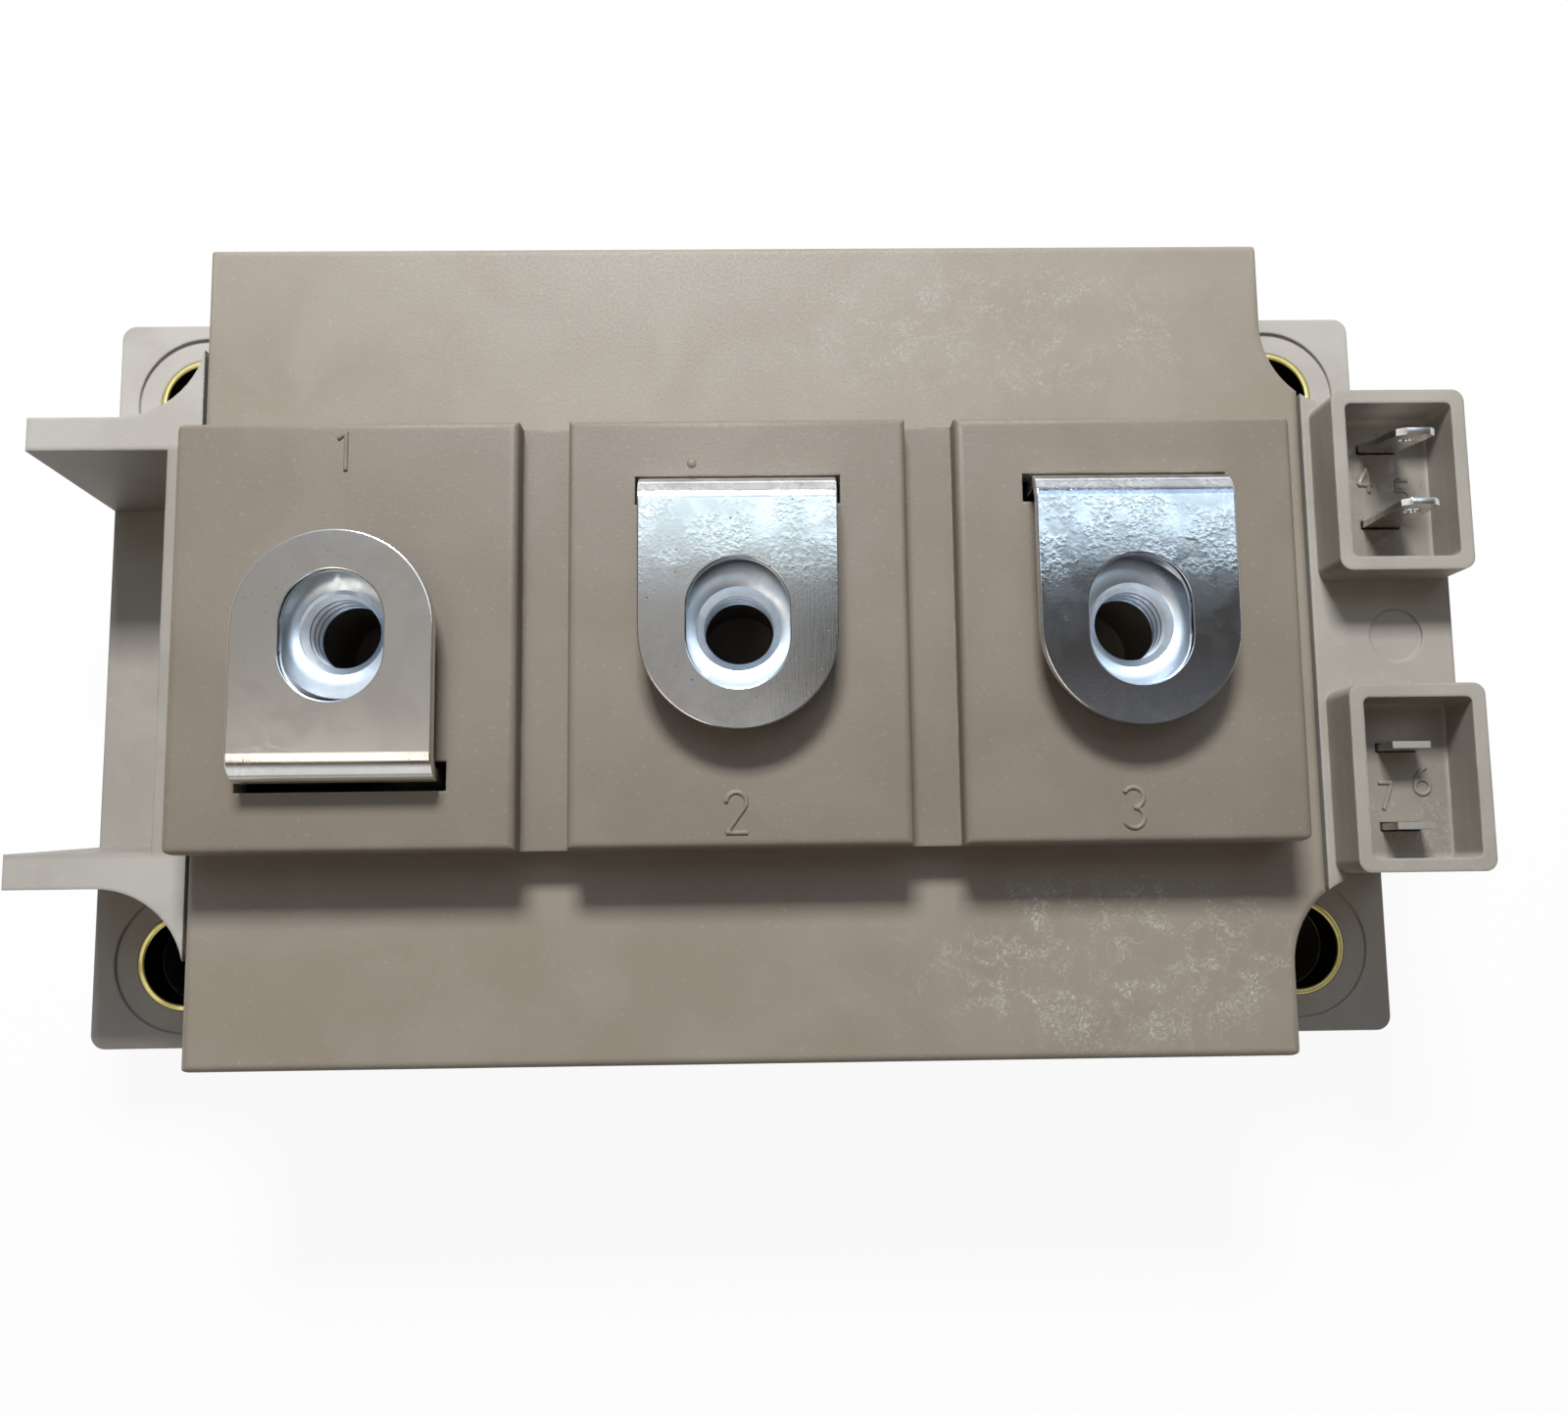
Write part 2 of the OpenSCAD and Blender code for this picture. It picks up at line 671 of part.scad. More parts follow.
// Corner of a board that the emitter track fills
module emitter_corner(margin) {
    translate([emitter_x - margin, emitter_y - margin])
        square([copper_x - emitter_x + margin, copper_y - emitter_y + margin]);
}

module collector_track(side) {
    color(copper)
    on_board(side) translate([0, 0, track_z]) linear_extrude(copper_t) difference() {
        square([2 * copper_x, 2 * copper_y], center = true);
        emitter_corner(track_gap);
        signal_pads(track_gap / 2);
    }
}

module emitter_track(side) {
    color(copper) on_board(side) translate([0, 0, track_z]) linear_extrude(copper_t) emitter_corner(0);
}

module signal_tracks(side) {
    color(copper) on_board(side) translate([0, 0, track_z]) linear_extrude(copper_t) signal_pads(0);
}

module chip(side, x, y, l) {
    on_board(side) translate([x, y, chip_z + chip_t / 2]) cube([l, l, chip_t], center = true);
}

module switch_chip(side, column) {
    color([0.35, 0.37, 0.42]) chip(side, chip_xs[column], switch_y, switch_chip_l);
}

module diode_chip(side, column) {
    color([0.46, 0.47, 0.50]) chip(side, chip_xs[column], diode_y, diode_chip_l);
}

// One bond wire, drawn with a square section: an arc between two flattened feet at heights z0 and z1
module bond_wire(p0, p1, z0, z1) {
    span = norm(p1 - p0);
    rise = span / 4;
    radius = (span * span / 4 + rise * rise) / (2 * rise);
    arc_z = wire_z + 0.75 * wire_d;
    translate((p0 + p1) / 2) rotate(atan2(p1[1] - p0[1], p1[0] - p0[0])) along_y(wire_d) {
        intersection() {
            translate([0, arc_z + rise - radius]) difference() {
                circle(radius + wire_d / 2);
                circle(radius - wire_d / 2);
            }
            translate([-span, arc_z]) square([2 * span, 2 * rise]);
        }
        translate([-(span + wire_foot_l) / 2, z0]) square([wire_foot_l, arc_z - z0]);
        translate([(span - wire_foot_l) / 2, z1]) square([wire_foot_l, arc_z - z1]);
    }
}

// Wires from chip to chip, on to the emitter track, down to the diodes, and to the signal pads
module bond_wires(side) {
    reach = switch_chip_l / 2 - wire_inset;
    color([0.85, 0.86, 0.88]) on_board(side) {
        for (k = [-1, 0, 1]) {
            y = switch_y + k * wire_pitch;
            bond_wire([chip_xs[0] + reach, y], [chip_xs[1] - reach, y], wire_z, wire_z);
            end_y = y + wire_pitch / 2;
            bond_wire([chip_xs[1] + reach, end_y], [emitter_x + emitter_wire_inset, end_y], wire_z, chip_z);
            for (chip_x = chip_xs)
                bond_wire([chip_x + k * wire_pitch, switch_y - reach],
                          [chip_x + k * wire_pitch, diode_y + diode_chip_l / 2 - diode_wire_inset],
                          wire_z, wire_z);
        }
        for (n = [0, 1]) {
            pad_y = lead_ys[n] - gate_wire_shift;
            bond_wire([chip_xs[1] + reach + 1, pad_y], [pad_x, pad_y], wire_z, chip_z);
        }
    }
}

// Wires that join the emitter of the right board to the collector of the left one
module link_wires() {
    color([0.85, 0.86, 0.88])
    for (k = [0:link_count - 1]) {
        y = link_edge - copper_y + k * wire_pitch;
        bond_wire([-link_x, y], [link_x, y], chip_z, chip_z);
    }
}

// Soft gel that covers the boards, with a space for all that stands in it
module silicone_gel() {
    color([0.80, 0.86, 0.90])
    difference() {
        translate([0, 0, plate_t]) linear_extrude(gel_top - plate_t) {
            square([2 * cavity_x, 2 * cavity_y], center = true);
            translate([0, -bay_y]) square([bay_x, 2 * bay_y]);
        }
        for (side = [-1, 1]) {
            back_copper(side);
            ceramic_board(side);
            collector_track(side);
            emitter_track(side);
            signal_tracks(side);
            bond_wires(side);
            for (column = [0, 1]) {
                switch_chip(side, column);
                diode_chip(side, column);
            }
        }
        link_wires();
        for (i = [-1, 0, 1]) main_terminal(i);
        for (n = [0:3]) signal_lead(n);
    }
}

base_plate();
case_frame();
lid();
mounting_bush(-1, 1);  // mounting_bush_1
mounting_bush(1, 1);  // mounting_bush_2
mounting_bush(-1, -1);  // mounting_bush_3
mounting_bush(1, -1);  // mounting_bush_4
for (k = [1:3]) {
    main_terminal(k - 2);
    terminal_nut(k - 2);
}
for (k = [1:4]) {
    signal_lead(k - 1);
    switch_chip(k < 3 ? -1 : 1, (k - 1) % 2);
    diode_chip(k < 3 ? -1 : 1, (k - 1) % 2);
}
for (board = [["left", -1], ["right", 1]]) {
    back_copper(board[1]);
    ceramic_board(board[1]);
    collector_track(board[1]);
    emitter_track(board[1]);
    signal_tracks(board[1]);
    bond_wires(board[1]);
}
link_wires();
silicone_gel();
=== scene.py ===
# %% [markdown]
# # A power module on a white table
#
# This notebook dresses a half-bridge power module: a moulded case on a metal base plate, three folded
# screw terminals with captive nuts, and two small wells with signal tabs. The sizes come from the
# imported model, the frame, so every step starts from a box or a mount of that frame. What is added
# here is the finish: how each surface looks, where it is worn, and the small shapes that catch light.

# %% Load the frame
import math

import bpy
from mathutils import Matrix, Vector


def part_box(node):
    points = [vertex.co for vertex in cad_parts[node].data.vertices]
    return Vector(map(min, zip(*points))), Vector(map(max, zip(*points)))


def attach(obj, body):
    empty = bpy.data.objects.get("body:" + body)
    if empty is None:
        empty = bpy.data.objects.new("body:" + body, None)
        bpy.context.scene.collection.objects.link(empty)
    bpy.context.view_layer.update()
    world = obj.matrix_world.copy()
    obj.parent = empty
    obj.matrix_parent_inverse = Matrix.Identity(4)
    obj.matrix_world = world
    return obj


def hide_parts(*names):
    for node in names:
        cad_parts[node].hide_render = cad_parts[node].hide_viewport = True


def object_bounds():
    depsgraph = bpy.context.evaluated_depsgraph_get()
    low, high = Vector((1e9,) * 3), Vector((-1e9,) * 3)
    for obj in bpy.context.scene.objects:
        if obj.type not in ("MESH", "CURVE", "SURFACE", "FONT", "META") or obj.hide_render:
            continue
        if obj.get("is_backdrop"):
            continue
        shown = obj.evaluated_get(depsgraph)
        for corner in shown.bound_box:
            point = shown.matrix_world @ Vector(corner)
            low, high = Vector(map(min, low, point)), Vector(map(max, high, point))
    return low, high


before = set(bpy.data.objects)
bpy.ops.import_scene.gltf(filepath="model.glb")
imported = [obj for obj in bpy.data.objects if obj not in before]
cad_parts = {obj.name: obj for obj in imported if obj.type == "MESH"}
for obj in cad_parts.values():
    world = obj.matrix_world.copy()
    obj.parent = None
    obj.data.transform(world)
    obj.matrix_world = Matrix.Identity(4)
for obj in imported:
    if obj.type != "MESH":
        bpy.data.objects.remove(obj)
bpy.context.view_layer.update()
bpy.ops.object.select_all(action="DESELECT")
MM = 0.001

# %% [markdown]
# ## Places
#
# A finish often depends on where something sits: the plateau carries the terminals, the flat steps
# lie on both sides of it, and the ledge carries the signal wells. All of it can be read off the
# boxes of a few nodes, which is safer than typing it in again.

# %% Read the places
def centre(node):
    low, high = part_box(node)
    return (low + high) / 2


lid_low, lid_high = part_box("lid")
case_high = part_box("case_frame")[1]
PLATEAU_HEIGHT, LEDGE_DROP, WELL_INSET = 5.0 * MM, 0.4 * MM, 4.9 * MM
terminals = [f"main_terminal_{k}" for k in (1, 2, 3)]
nuts = [f"terminal_nut_{k}" for k in (1, 2, 3)]
bushes = [f"mounting_bush_{k}" for k in (1, 2, 3, 4)]
leads = [f"signal_lead_{k}" for k in (1, 2, 3, 4)]
plateau_z = lid_high.z
step_z = plateau_z - PLATEAU_HEIGHT
ledge_z = step_z - LEDGE_DROP
well_x = case_high.x - WELL_INSET
fold_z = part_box("main_terminal_2")[1].z
print(f"plateau at {plateau_z / MM:.1f} mm, tabs up to {fold_z / MM:.1f} mm")

# %% [markdown]
# ## Camera
#
# The module is seen from almost straight above, from a hand's width away, with a short lens. That
# near view is what makes the tall plateau look bigger than the flange below it. Near and wide could
# be faked with shift, but a real position keeps every parallax right, so the camera gets one.

# %% Place the camera
CAMERA_PLACE = (1.4 * MM, -17.1 * MM, 123.1 * MM)
CAMERA_TURN = (6.82, -1.03, -0.63)

bpy.ops.object.camera_add(location=CAMERA_PLACE)
camera = bpy.context.object
camera.name = "camera"
camera.data.sensor_width = 36
camera.data.lens = 31.4
camera.data.clip_start = 0.01
camera.rotation_mode = "ZYX"
camera.rotation_euler = [math.radians(turn) for turn in CAMERA_TURN]
bpy.context.scene.camera = camera
bpy.context.scene.view_settings.view_transform = "Standard"
print(f"camera {camera.location.z / MM:.0f} mm up, {camera.data.lens:.1f} mm lens")

# %% [markdown]
# ## Light
#
# One cool window-like key light stands behind the module, 50 degrees up: it draws the short
# shadows in front of the plateau and the wells. A second lamp in front would wash them out, so the
# rest of the light comes from a dim warm room, and the shadows turn brown and not black.

# %% Place the key light and the room
def aimed_lamp(name, place, size, power, colour, target=(0, 0, 20 * MM)):
    bpy.ops.object.light_add(type="AREA", location=place)
    lamp = bpy.context.object
    lamp.name = name
    lamp.rotation_euler = (Vector(target) - Vector(place)).to_track_quat("-Z", "Y").to_euler()
    lamp.data.shape = "RECTANGLE"
    lamp.data.size, lamp.data.size_y = size
    lamp.data.energy = power
    lamp.data.color = colour
    return lamp


def around(distance, elevation, azimuth):
    """A point seen from the module; azimuth 0 is behind it, towards +Y."""
    up, turn = math.radians(elevation), math.radians(azimuth)
    flat = distance * math.cos(up)
    return (flat * math.sin(turn), flat * math.cos(turn), distance * math.sin(up))


key = aimed_lamp("key", around(0.36, 50, -5), (0.10, 0.06), 1.70, (0.98, 1.0, 1.02))

world = bpy.data.worlds.new("room")
bpy.context.scene.world = world
world.use_nodes = True
print("lamp:", key.name, "room:", world.name)

# %% [markdown]
# Shader trees are built by code, so a few short helpers keep each material readable: one adds a node
# and fills its sockets by name, one does arithmetic, one mixes colours and one turns a range of
# values into a soft mask.

# %% Helpers for shader trees
def is_socket(value):
    return isinstance(value, bpy.types.NodeSocket)


def put(tree, socket, value):
    if is_socket(value):
        tree.links.new(value, socket)
    else:
        socket.default_value = value


def add(tree, kind, settings=None, **sockets):
    node = tree.nodes.new("ShaderNode" + kind)
    for name, value in (settings or {}).items():
        setattr(node, name, value)
    for name, value in sockets.items():
        put(tree, node.inputs[name.replace("_", " ")], value)
    return node


def maths(tree, operation, *values):
    node = tree.nodes.new("ShaderNodeMath")
    node.operation = operation
    for socket, value in zip(node.inputs, values):
        put(tree, socket, value)
    return node.outputs[0]


def blend(tree, factor, first, second, mode="MIX"):
    """Mixes two colours."""
    node = tree.nodes.new("ShaderNodeMix")
    node.data_type = "RGBA"
    node.blend_type = mode
    for index, value in ((0, factor), (6, first), (7, second)):
        put(tree, node.inputs[index], value)
    return node.outputs[2]


def ramp(tree, value, start, end, low=0.0, high=1.0):
    """A soft step from low to high, as value goes from start to end."""
    node = add(tree, "MapRange", {"interpolation_type": "SMOOTHSTEP"}, Value=value)
    for name, number in (("From Min", start), ("From Max", end), ("To Min", low), ("To Max", high)):
        put(tree, node.inputs[name], number)
    return node.outputs["Result"]


def noise(tree, place, size, detail=2.0, roughness=0.5, distortion=0.0):
    """Cloudy values round 0.5, with lumps of about size metres."""
    scale = maths(tree, "DIVIDE", 1.0, size) if is_socket(size) else 1.0 / size
    node = add(tree, "TexNoise", None, Vector=place, Scale=scale, Detail=detail, Roughness=roughness,
               Distortion=distortion)
    return node.outputs["Fac"]


def colour(red, green, blue):
    return (red, green, blue, 1.0)


print("shader helpers: put, add, maths, blend, ramp, noise, colour")

# %% [markdown]
# The room is a world shader. Flat metal is a mirror for what is overhead, so the ceiling matters more
# than the walls: it has a bright patch on the left, a cool window behind and a warm lit panel in
# front, which each light one part of the folded tabs. They are drawn as soft rectangles on a ceiling
# one unit up. The camera sees a plain white page instead, which adds no light, and metal that is
# looked at from the side mirrors the same page near the horizon.

# %% Paint the room
WALL_BROWN, CEILING_BROWN = colour(0.045, 0.028, 0.018), colour(0.07, 0.060, 0.052)
# left, right, near and far side, softness of the sides, light; a later one covers those before it
PANELS = (
    (-0.10, 0.50, -0.25, 0.12, 0.05, colour(0.24, 0.24, 0.25)),    # ceiling over terminals 2 and 3
    (-0.55, 0.03, -0.15, 0.34, 0.06, colour(0.41, 0.39, 0.365)),   # warmer ceiling over terminal 1
    (-0.12, 0.06, -0.20, 0.11, 0.04, colour(0.54, 0.53, 0.51)),    # brighter spot over terminal 2
    (-0.55, 0.62, 0.36, 0.90, 0.06, colour(0.85, 1.08, 1.45)),     # blue sky behind
    (-0.16, 0.48, 0.243, 0.42, 0.01, colour(1.55, 1.85, 2.0)),     # window pane below the sky
    (-0.43, -0.22, -0.62, 0.04, 0.02, colour(2.8, 2.5, 2.15)),     # lit panel in front, for one fold
)


def paint_room(tree):
    tree.nodes.clear()
    direction = add(tree, "TexCoord").outputs["Generated"]
    part = add(tree, "SeparateXYZ", None, Vector=direction).outputs
    up = maths(tree, "MAXIMUM", part["Z"], 0.001)
    across = maths(tree, "DIVIDE", part["X"], up)
    along = maths(tree, "DIVIDE", part["Y"], up)

    def panel(left, right, near, far, soft):
        inside = 1.0
        for value, start, end in ((across, left, right), (along, near, far)):
            inside = maths(tree, "MULTIPLY", inside, ramp(tree, value, start - soft, start + soft))
            inside = maths(tree, "MULTIPLY", inside, ramp(tree, value, end + soft, end - soft))
        return inside

    room = blend(tree, ramp(tree, part["Z"], 0.0, 1.0), WALL_BROWN, CEILING_BROWN)
    for *shape, light in PANELS:
        room = blend(tree, panel(*shape), room, light)
    room = add(tree, "Background", None, Color=room, Strength=1.0)
    page = add(tree, "Background", None, Color=colour(1, 1, 1), Strength=1.0)
    ray = add(tree, "LightPath").outputs
    mirrored = maths(tree, "MULTIPLY", ray["Is Glossy Ray"], ramp(tree, part["Z"], 0.76, 0.42))
    both = tree.nodes.new("ShaderNodeMixShader")
    tree.links.new(maths(tree, "MAXIMUM", ray["Is Camera Ray"], mirrored), both.inputs[0])
    tree.links.new(room.outputs[0], both.inputs[1])
    tree.links.new(page.outputs[0], both.inputs[2])
    out = tree.nodes.new("ShaderNodeOutputWorld")
    tree.links.new(both.outputs[0], out.inputs[0])


paint_room(world.node_tree)
print("room painted")

# %% [markdown]
# ## Floor
#
# A pale sheet of paper. Lit paper is nearly white but not quite, so the camera sees it a little
# brighter than the light alone makes it, and more so far away, where the sheet runs into the white
# page behind it; the shadow of the module stays. The spots under the four screw holes are left out of
# that lift, and there the paper itself is painted nearly black: painted shade, because almost no light
# gets down there. The module is symmetrical, so the distance from one hole, taken with both
# coordinates positive, will do.

# %% Lay the floor
def floor_material(hole, radius):
    made = bpy.data.materials.new("floor")
    made.use_nodes = True
    tree = made.node_tree
    tree.nodes.clear()
    quarter = add(tree, "VectorMath", {"operation": "ABSOLUTE"})
    tree.links.new(add(tree, "TexCoord").outputs["Object"], quarter.inputs[0])
    away = add(tree, "VectorMath", {"operation": "DISTANCE"})
    tree.links.new(quarter.outputs["Vector"], away.inputs[0])
    away.inputs[1].default_value = (abs(hole.x), abs(hole.y), 0)
    in_the_open = ramp(tree, away.outputs["Value"], radius, radius + 0.5 * MM)
    # painted shade: inside the radius of each screw hole the paper colour is nearly black
    paper = add(tree, "BsdfDiffuse", None,
                Color=blend(tree, in_the_open, colour(0.02, 0.015, 0.01), colour(0.78, 0.77, 0.75)))
    glow = add(tree, "Emission", None, Color=colour(1, 1, 1), Strength=1.0)
    whiter = ramp(tree, away.outputs["Value"], 0.10, 0.45, 0.93, 1.0)
    lift = maths(tree, "MULTIPLY", add(tree, "LightPath").outputs["Is Camera Ray"],
                 maths(tree, "MULTIPLY", in_the_open, whiter))
    both = tree.nodes.new("ShaderNodeMixShader")
    tree.links.new(lift, both.inputs[0])
    tree.links.new(paper.outputs[0], both.inputs[1])
    tree.links.new(glow.outputs[0], both.inputs[2])
    out = tree.nodes.new("ShaderNodeOutputMaterial")
    tree.links.new(both.outputs[0], out.inputs[0])
    return made


bpy.ops.mesh.primitive_plane_add(size=1.4, location=(0, 0, 0))
floor = bpy.context.object
floor.name = "floor"
floor.data.materials.append(floor_material(hole=centre("mounting_bush_1"), radius=4.2 * MM))
floor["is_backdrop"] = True
bpy.ops.object.select_all(action="DESELECT")
print("floor laid")

# %% [markdown]
# ## Shared effects
#
# Wear and grain turn up in nearly every material here, so each is a node group that is built once
# and placed with its own values. The groups read Object coordinates: every piece has its origin at
# the origin of the frame, so a pattern stays where it is put.

# %% A helper for node groups
def new_group(name, inputs, outputs):
    """A shader group; inputs are names with default values, outputs are names of values."""
    group = bpy.data.node_groups.new(name, "ShaderNodeTree")
    for label, value in inputs.items():
        kind = "NodeSocketVector" if isinstance(value, tuple) else "NodeSocketFloat"
        group.interface.new_socket(label, in_out="INPUT", socket_type=kind).default_value = value
    for label in outputs:
        kind = "NodeSocketVector" if label == "Normal" else "NodeSocketFloat"
        group.interface.new_socket(label, in_out="OUTPUT", socket_type=kind)
    given = group.nodes.new("NodeGroupInput").outputs
    made = group.nodes.new("NodeGroupOutput").inputs
    place = add(group, "TexCoord").outputs["Object"]
    return group, given, made, place


def use(tree, group, **values):
    """Places a group in a material and returns its outputs."""
    node = tree.nodes.new("ShaderNodeGroup")
    node.node_tree = group
    for name, value in values.items():
        put(tree, node.inputs[name.replace("_", " ")], value)
    return node.outputs


print("group helpers: new_group, use")

# %% [markdown]
# **Edge wear.** Corners rub first. A Bevel node bends the normal near an edge, so where the bent
# normal and the true one differ, an edge is near. Multiplied by cloudy noise, it gives the broken
# bright lines of handled plastic. The bent normal itself also softens corners too small to model.

# %% Build the edge wear group
def build_edge_wear():
    group, given, made, place = new_group("edge wear", {"Width": 0.3 * MM, "Amount": 1.0, "Patch": 3 * MM},
                                          ["Mask", "Normal"])
    bent = add(group, "Bevel", {"samples": 2}, Radius=given["Width"]).outputs["Normal"]
    true = add(group, "NewGeometry").outputs["Normal"]
    closeness = add(group, "VectorMath", {"operation": "DOT_PRODUCT"})
    group.links.new(bent, closeness.inputs[0])
    group.links.new(true, closeness.inputs[1])
    near_edge = ramp(group, closeness.outputs["Value"], 0.995, 0.80)
    broken = ramp(group, noise(group, place, given["Patch"], 4.0, 0.65), 0.36, 0.62)
    group.links.new(maths(group, "MULTIPLY", maths(group, "MULTIPLY", near_edge, broken), given["Amount"]),
                    made["Mask"])
    group.links.new(bent, made["Normal"])
    return group


edge_wear = build_edge_wear()
print("group:", edge_wear.name)

# %% [markdown]
# **Grain.** Glass-filled moulding comes out of a spark-eroded mould with a fine matt grain, and the
# glass shows as faint flecks. Two sizes of noise do it: a fine one for height, and a broad one for
# the slow clouds of colour that handling leaves.

# %% Build the grain group
def build_grain():
    group, given, made, place = new_group("grain", {"Size": 0.22 * MM, "Cloud": 9 * MM},
                                          ["Height", "Clouds", "Flecks"])
    fine = noise(group, place, given["Size"], 3.0, 0.6)
    slow = noise(group, place, given["Cloud"], 3.0, 0.55, 0.4)
    speck = noise(group, place, maths(group, "MULTIPLY", given["Size"], 1.6), 1.0)
    group.links.new(fine, made["Height"])
    group.links.new(ramp(group, slow, 0.32, 0.68), made["Clouds"])
    group.links.new(ramp(group, speck, 0.66, 0.74), made["Flecks"])
    return group


grain = build_grain()
print("group:", grain.name)

# %% [markdown]
# **Hairlines.** Scuffs on matt plastic and on plating are thin, curled and tangled. The line where
# a warped noise crosses a half is just such a curl; a second noise breaks it into strokes, and a
# cloudy mask gathers them in patches.

# %% Build the hairline group
def build_hairlines():
    group, given, made, place = new_group(
        "hairlines", {"Size": 3 * MM, "Thin": 0.012, "Gather": 5 * MM, "Stretch": (1.0, 1.0, 1.0)}, ["Mask"])
    drawn = add(group, "VectorMath", {"operation": "MULTIPLY"})
    group.links.new(place, drawn.inputs[0])
    group.links.new(given["Stretch"], drawn.inputs[1])
    drawn = drawn.outputs["Vector"]
    total = 0.0
    for turn, share in ((0.0, 1.0), (1.0, 0.6)):
        moved = add(group, "Mapping", None, Vector=drawn, Location=(turn * 0.013, turn * 0.007, 0.0),
                    Rotation=(0.0, 0.0, turn)).outputs["Vector"]
        curl = noise(group, moved, maths(group, "MULTIPLY", given["Size"], share), 2.0, 0.6)
        off = maths(group, "ABSOLUTE", maths(group, "SUBTRACT", curl, 0.5))
        line = ramp(group, maths(group, "DIVIDE", off, given["Thin"]), 1.0, 0.2)
        total = maths(group, "ADD", total, line)
    strokes = ramp(group, noise(group, drawn, maths(group, "MULTIPLY", given["Size"], 0.5), 1.0), 0.42, 0.58)
    gathered = ramp(group, noise(group, place, given["Gather"], 2.0, 0.5), 0.40, 0.60)
    shown = maths(group, "MULTIPLY", strokes, gathered)
    group.links.new(maths(group, "MINIMUM", maths(group, "MULTIPLY", total, shown), 1.0), made["Mask"])
    return group


hairlines = build_hairlines()
print("group:", hairlines.name)

# %% [markdown]
# **Patch.** Some wear belongs to one place, such as a rubbed corner of the lid. This group is a soft
# blot round a centre, with a ragged outline.

# %% Build the patch group
def build_patch():
    group, given, made, place = new_group(
        "patch", {"Centre": (0.0, 0.0, 0.0), "Reach": (10 * MM, 10 * MM, 10 * MM), "Ragged": 0.5}, ["Mask"])
    offset = add(group, "VectorMath", {"operation": "SUBTRACT"})
    group.links.new(place, offset.inputs[0])
    group.links.new(given["Centre"], offset.inputs[1])
    scaled = add(group, "VectorMath", {"operation": "DIVIDE"})
    group.links.new(offset.outputs["Vector"], scaled.inputs[0])
    group.links.new(given["Reach"], scaled.inputs[1])
    away = add(group, "VectorMath", {"operation": "LENGTH"})
    group.links.new(scaled.outputs["Vector"], away.inputs[0])
    lumps = maths(group, "SUBTRACT", noise(group, place, 4 * MM, 3.0), 0.5)
    wave = maths(group, "MULTIPLY", lumps, given["Ragged"])
    group.links.new(ramp(group, maths(group, "ADD", away.outputs["Value"], wave), 1.0, 0.55), made["Mask"])
    return group


patch = build_patch()
print("group:", patch.name)

# %% [markdown]
# ** Box.** Some colour belongs to one block of the moulding, such as the plateau, which is darker than
# the steps beside it, or a recess whose colour is darkened as painted shade. This group is 1 inside a
# box and 0 outside.

# %% Build the box group
def build_box_mask():
    group, given, made, place = new_group("box", {"Low": (0.0, 0.0, 0.0), "High": (1.0, 1.0, 1.0)}, ["Mask"])
    here = add(group, "SeparateXYZ", None, Vector=place).outputs
    low, high = (add(group, "SeparateXYZ", None, Vector=given[label]).outputs for label in ("Low", "High"))
    inside = 1.0
    for axis in "XYZ":
        for past in ((here[axis], low[axis]), (high[axis], here[axis])):
            depth = maths(group, "SUBTRACT", *past)
            inside = maths(group, "MULTIPLY", inside, ramp(group, depth, 0.0, 0.6 * MM))
    group.links.new(inside, made["Mask"])
    return group


box_mask = build_box_mask()
print("group:", box_mask.name)

# %% [markdown]
# **Specks.** Dust, pits and splashes are small round dots of one size, here and there. Voronoi cells
# give one dot each, and the cell's own random colour decides which of them show.

# %% Build the speck group
def build_specks():
    group, given, made, place = new_group(
        "specks", {"Spacing": 1 * MM, "Radius": 0.2, "Share": 0.4}, ["Mask"])
    cells = add(group, "TexVoronoi", None, Vector=place,
                Scale=maths(group, "DIVIDE", 1.0, given["Spacing"]))
    dot = ramp(group, maths(group, "DIVIDE", cells.outputs["Distance"], given["Radius"]), 1.0, 0.6)
    chance = add(group, "SeparateColor", None, Color=cells.outputs["Color"]).outputs["Red"]
    shown = maths(group, "LESS_THAN", chance, given["Share"])
    group.links.new(maths(group, "MULTIPLY", dot, shown), made["Mask"])
    return group


specks = build_specks()
print("group:", specks.name)

# %% [markdown]
# ## Moulded plastic
#
# Case and lid are the same kind of glass-filled plastic, moulded in two tools, so one recipe serves
# both and takes the colours as arguments. It starts from two tones of cloud and darkens whole blocks,
# which on the case is painted shade, and then goes through what happened to the part: patches of
# scuffs, rubbed edges, dust, and drops of gel that make a matt surface shine.

# %% Write the plastic recipe
def principled(name, **sockets):
    """A new material with one Principled shader; returns it with its tree and the shader."""
    made = bpy.data.materials.new(name)
    made.use_nodes = True
    tree = made.node_tree
    shader = tree.nodes["Principled BSDF"]
    for label, value in sockets.items():
        put(tree, shader.inputs[label.replace("_", " ")], value)
    return made, tree, shader


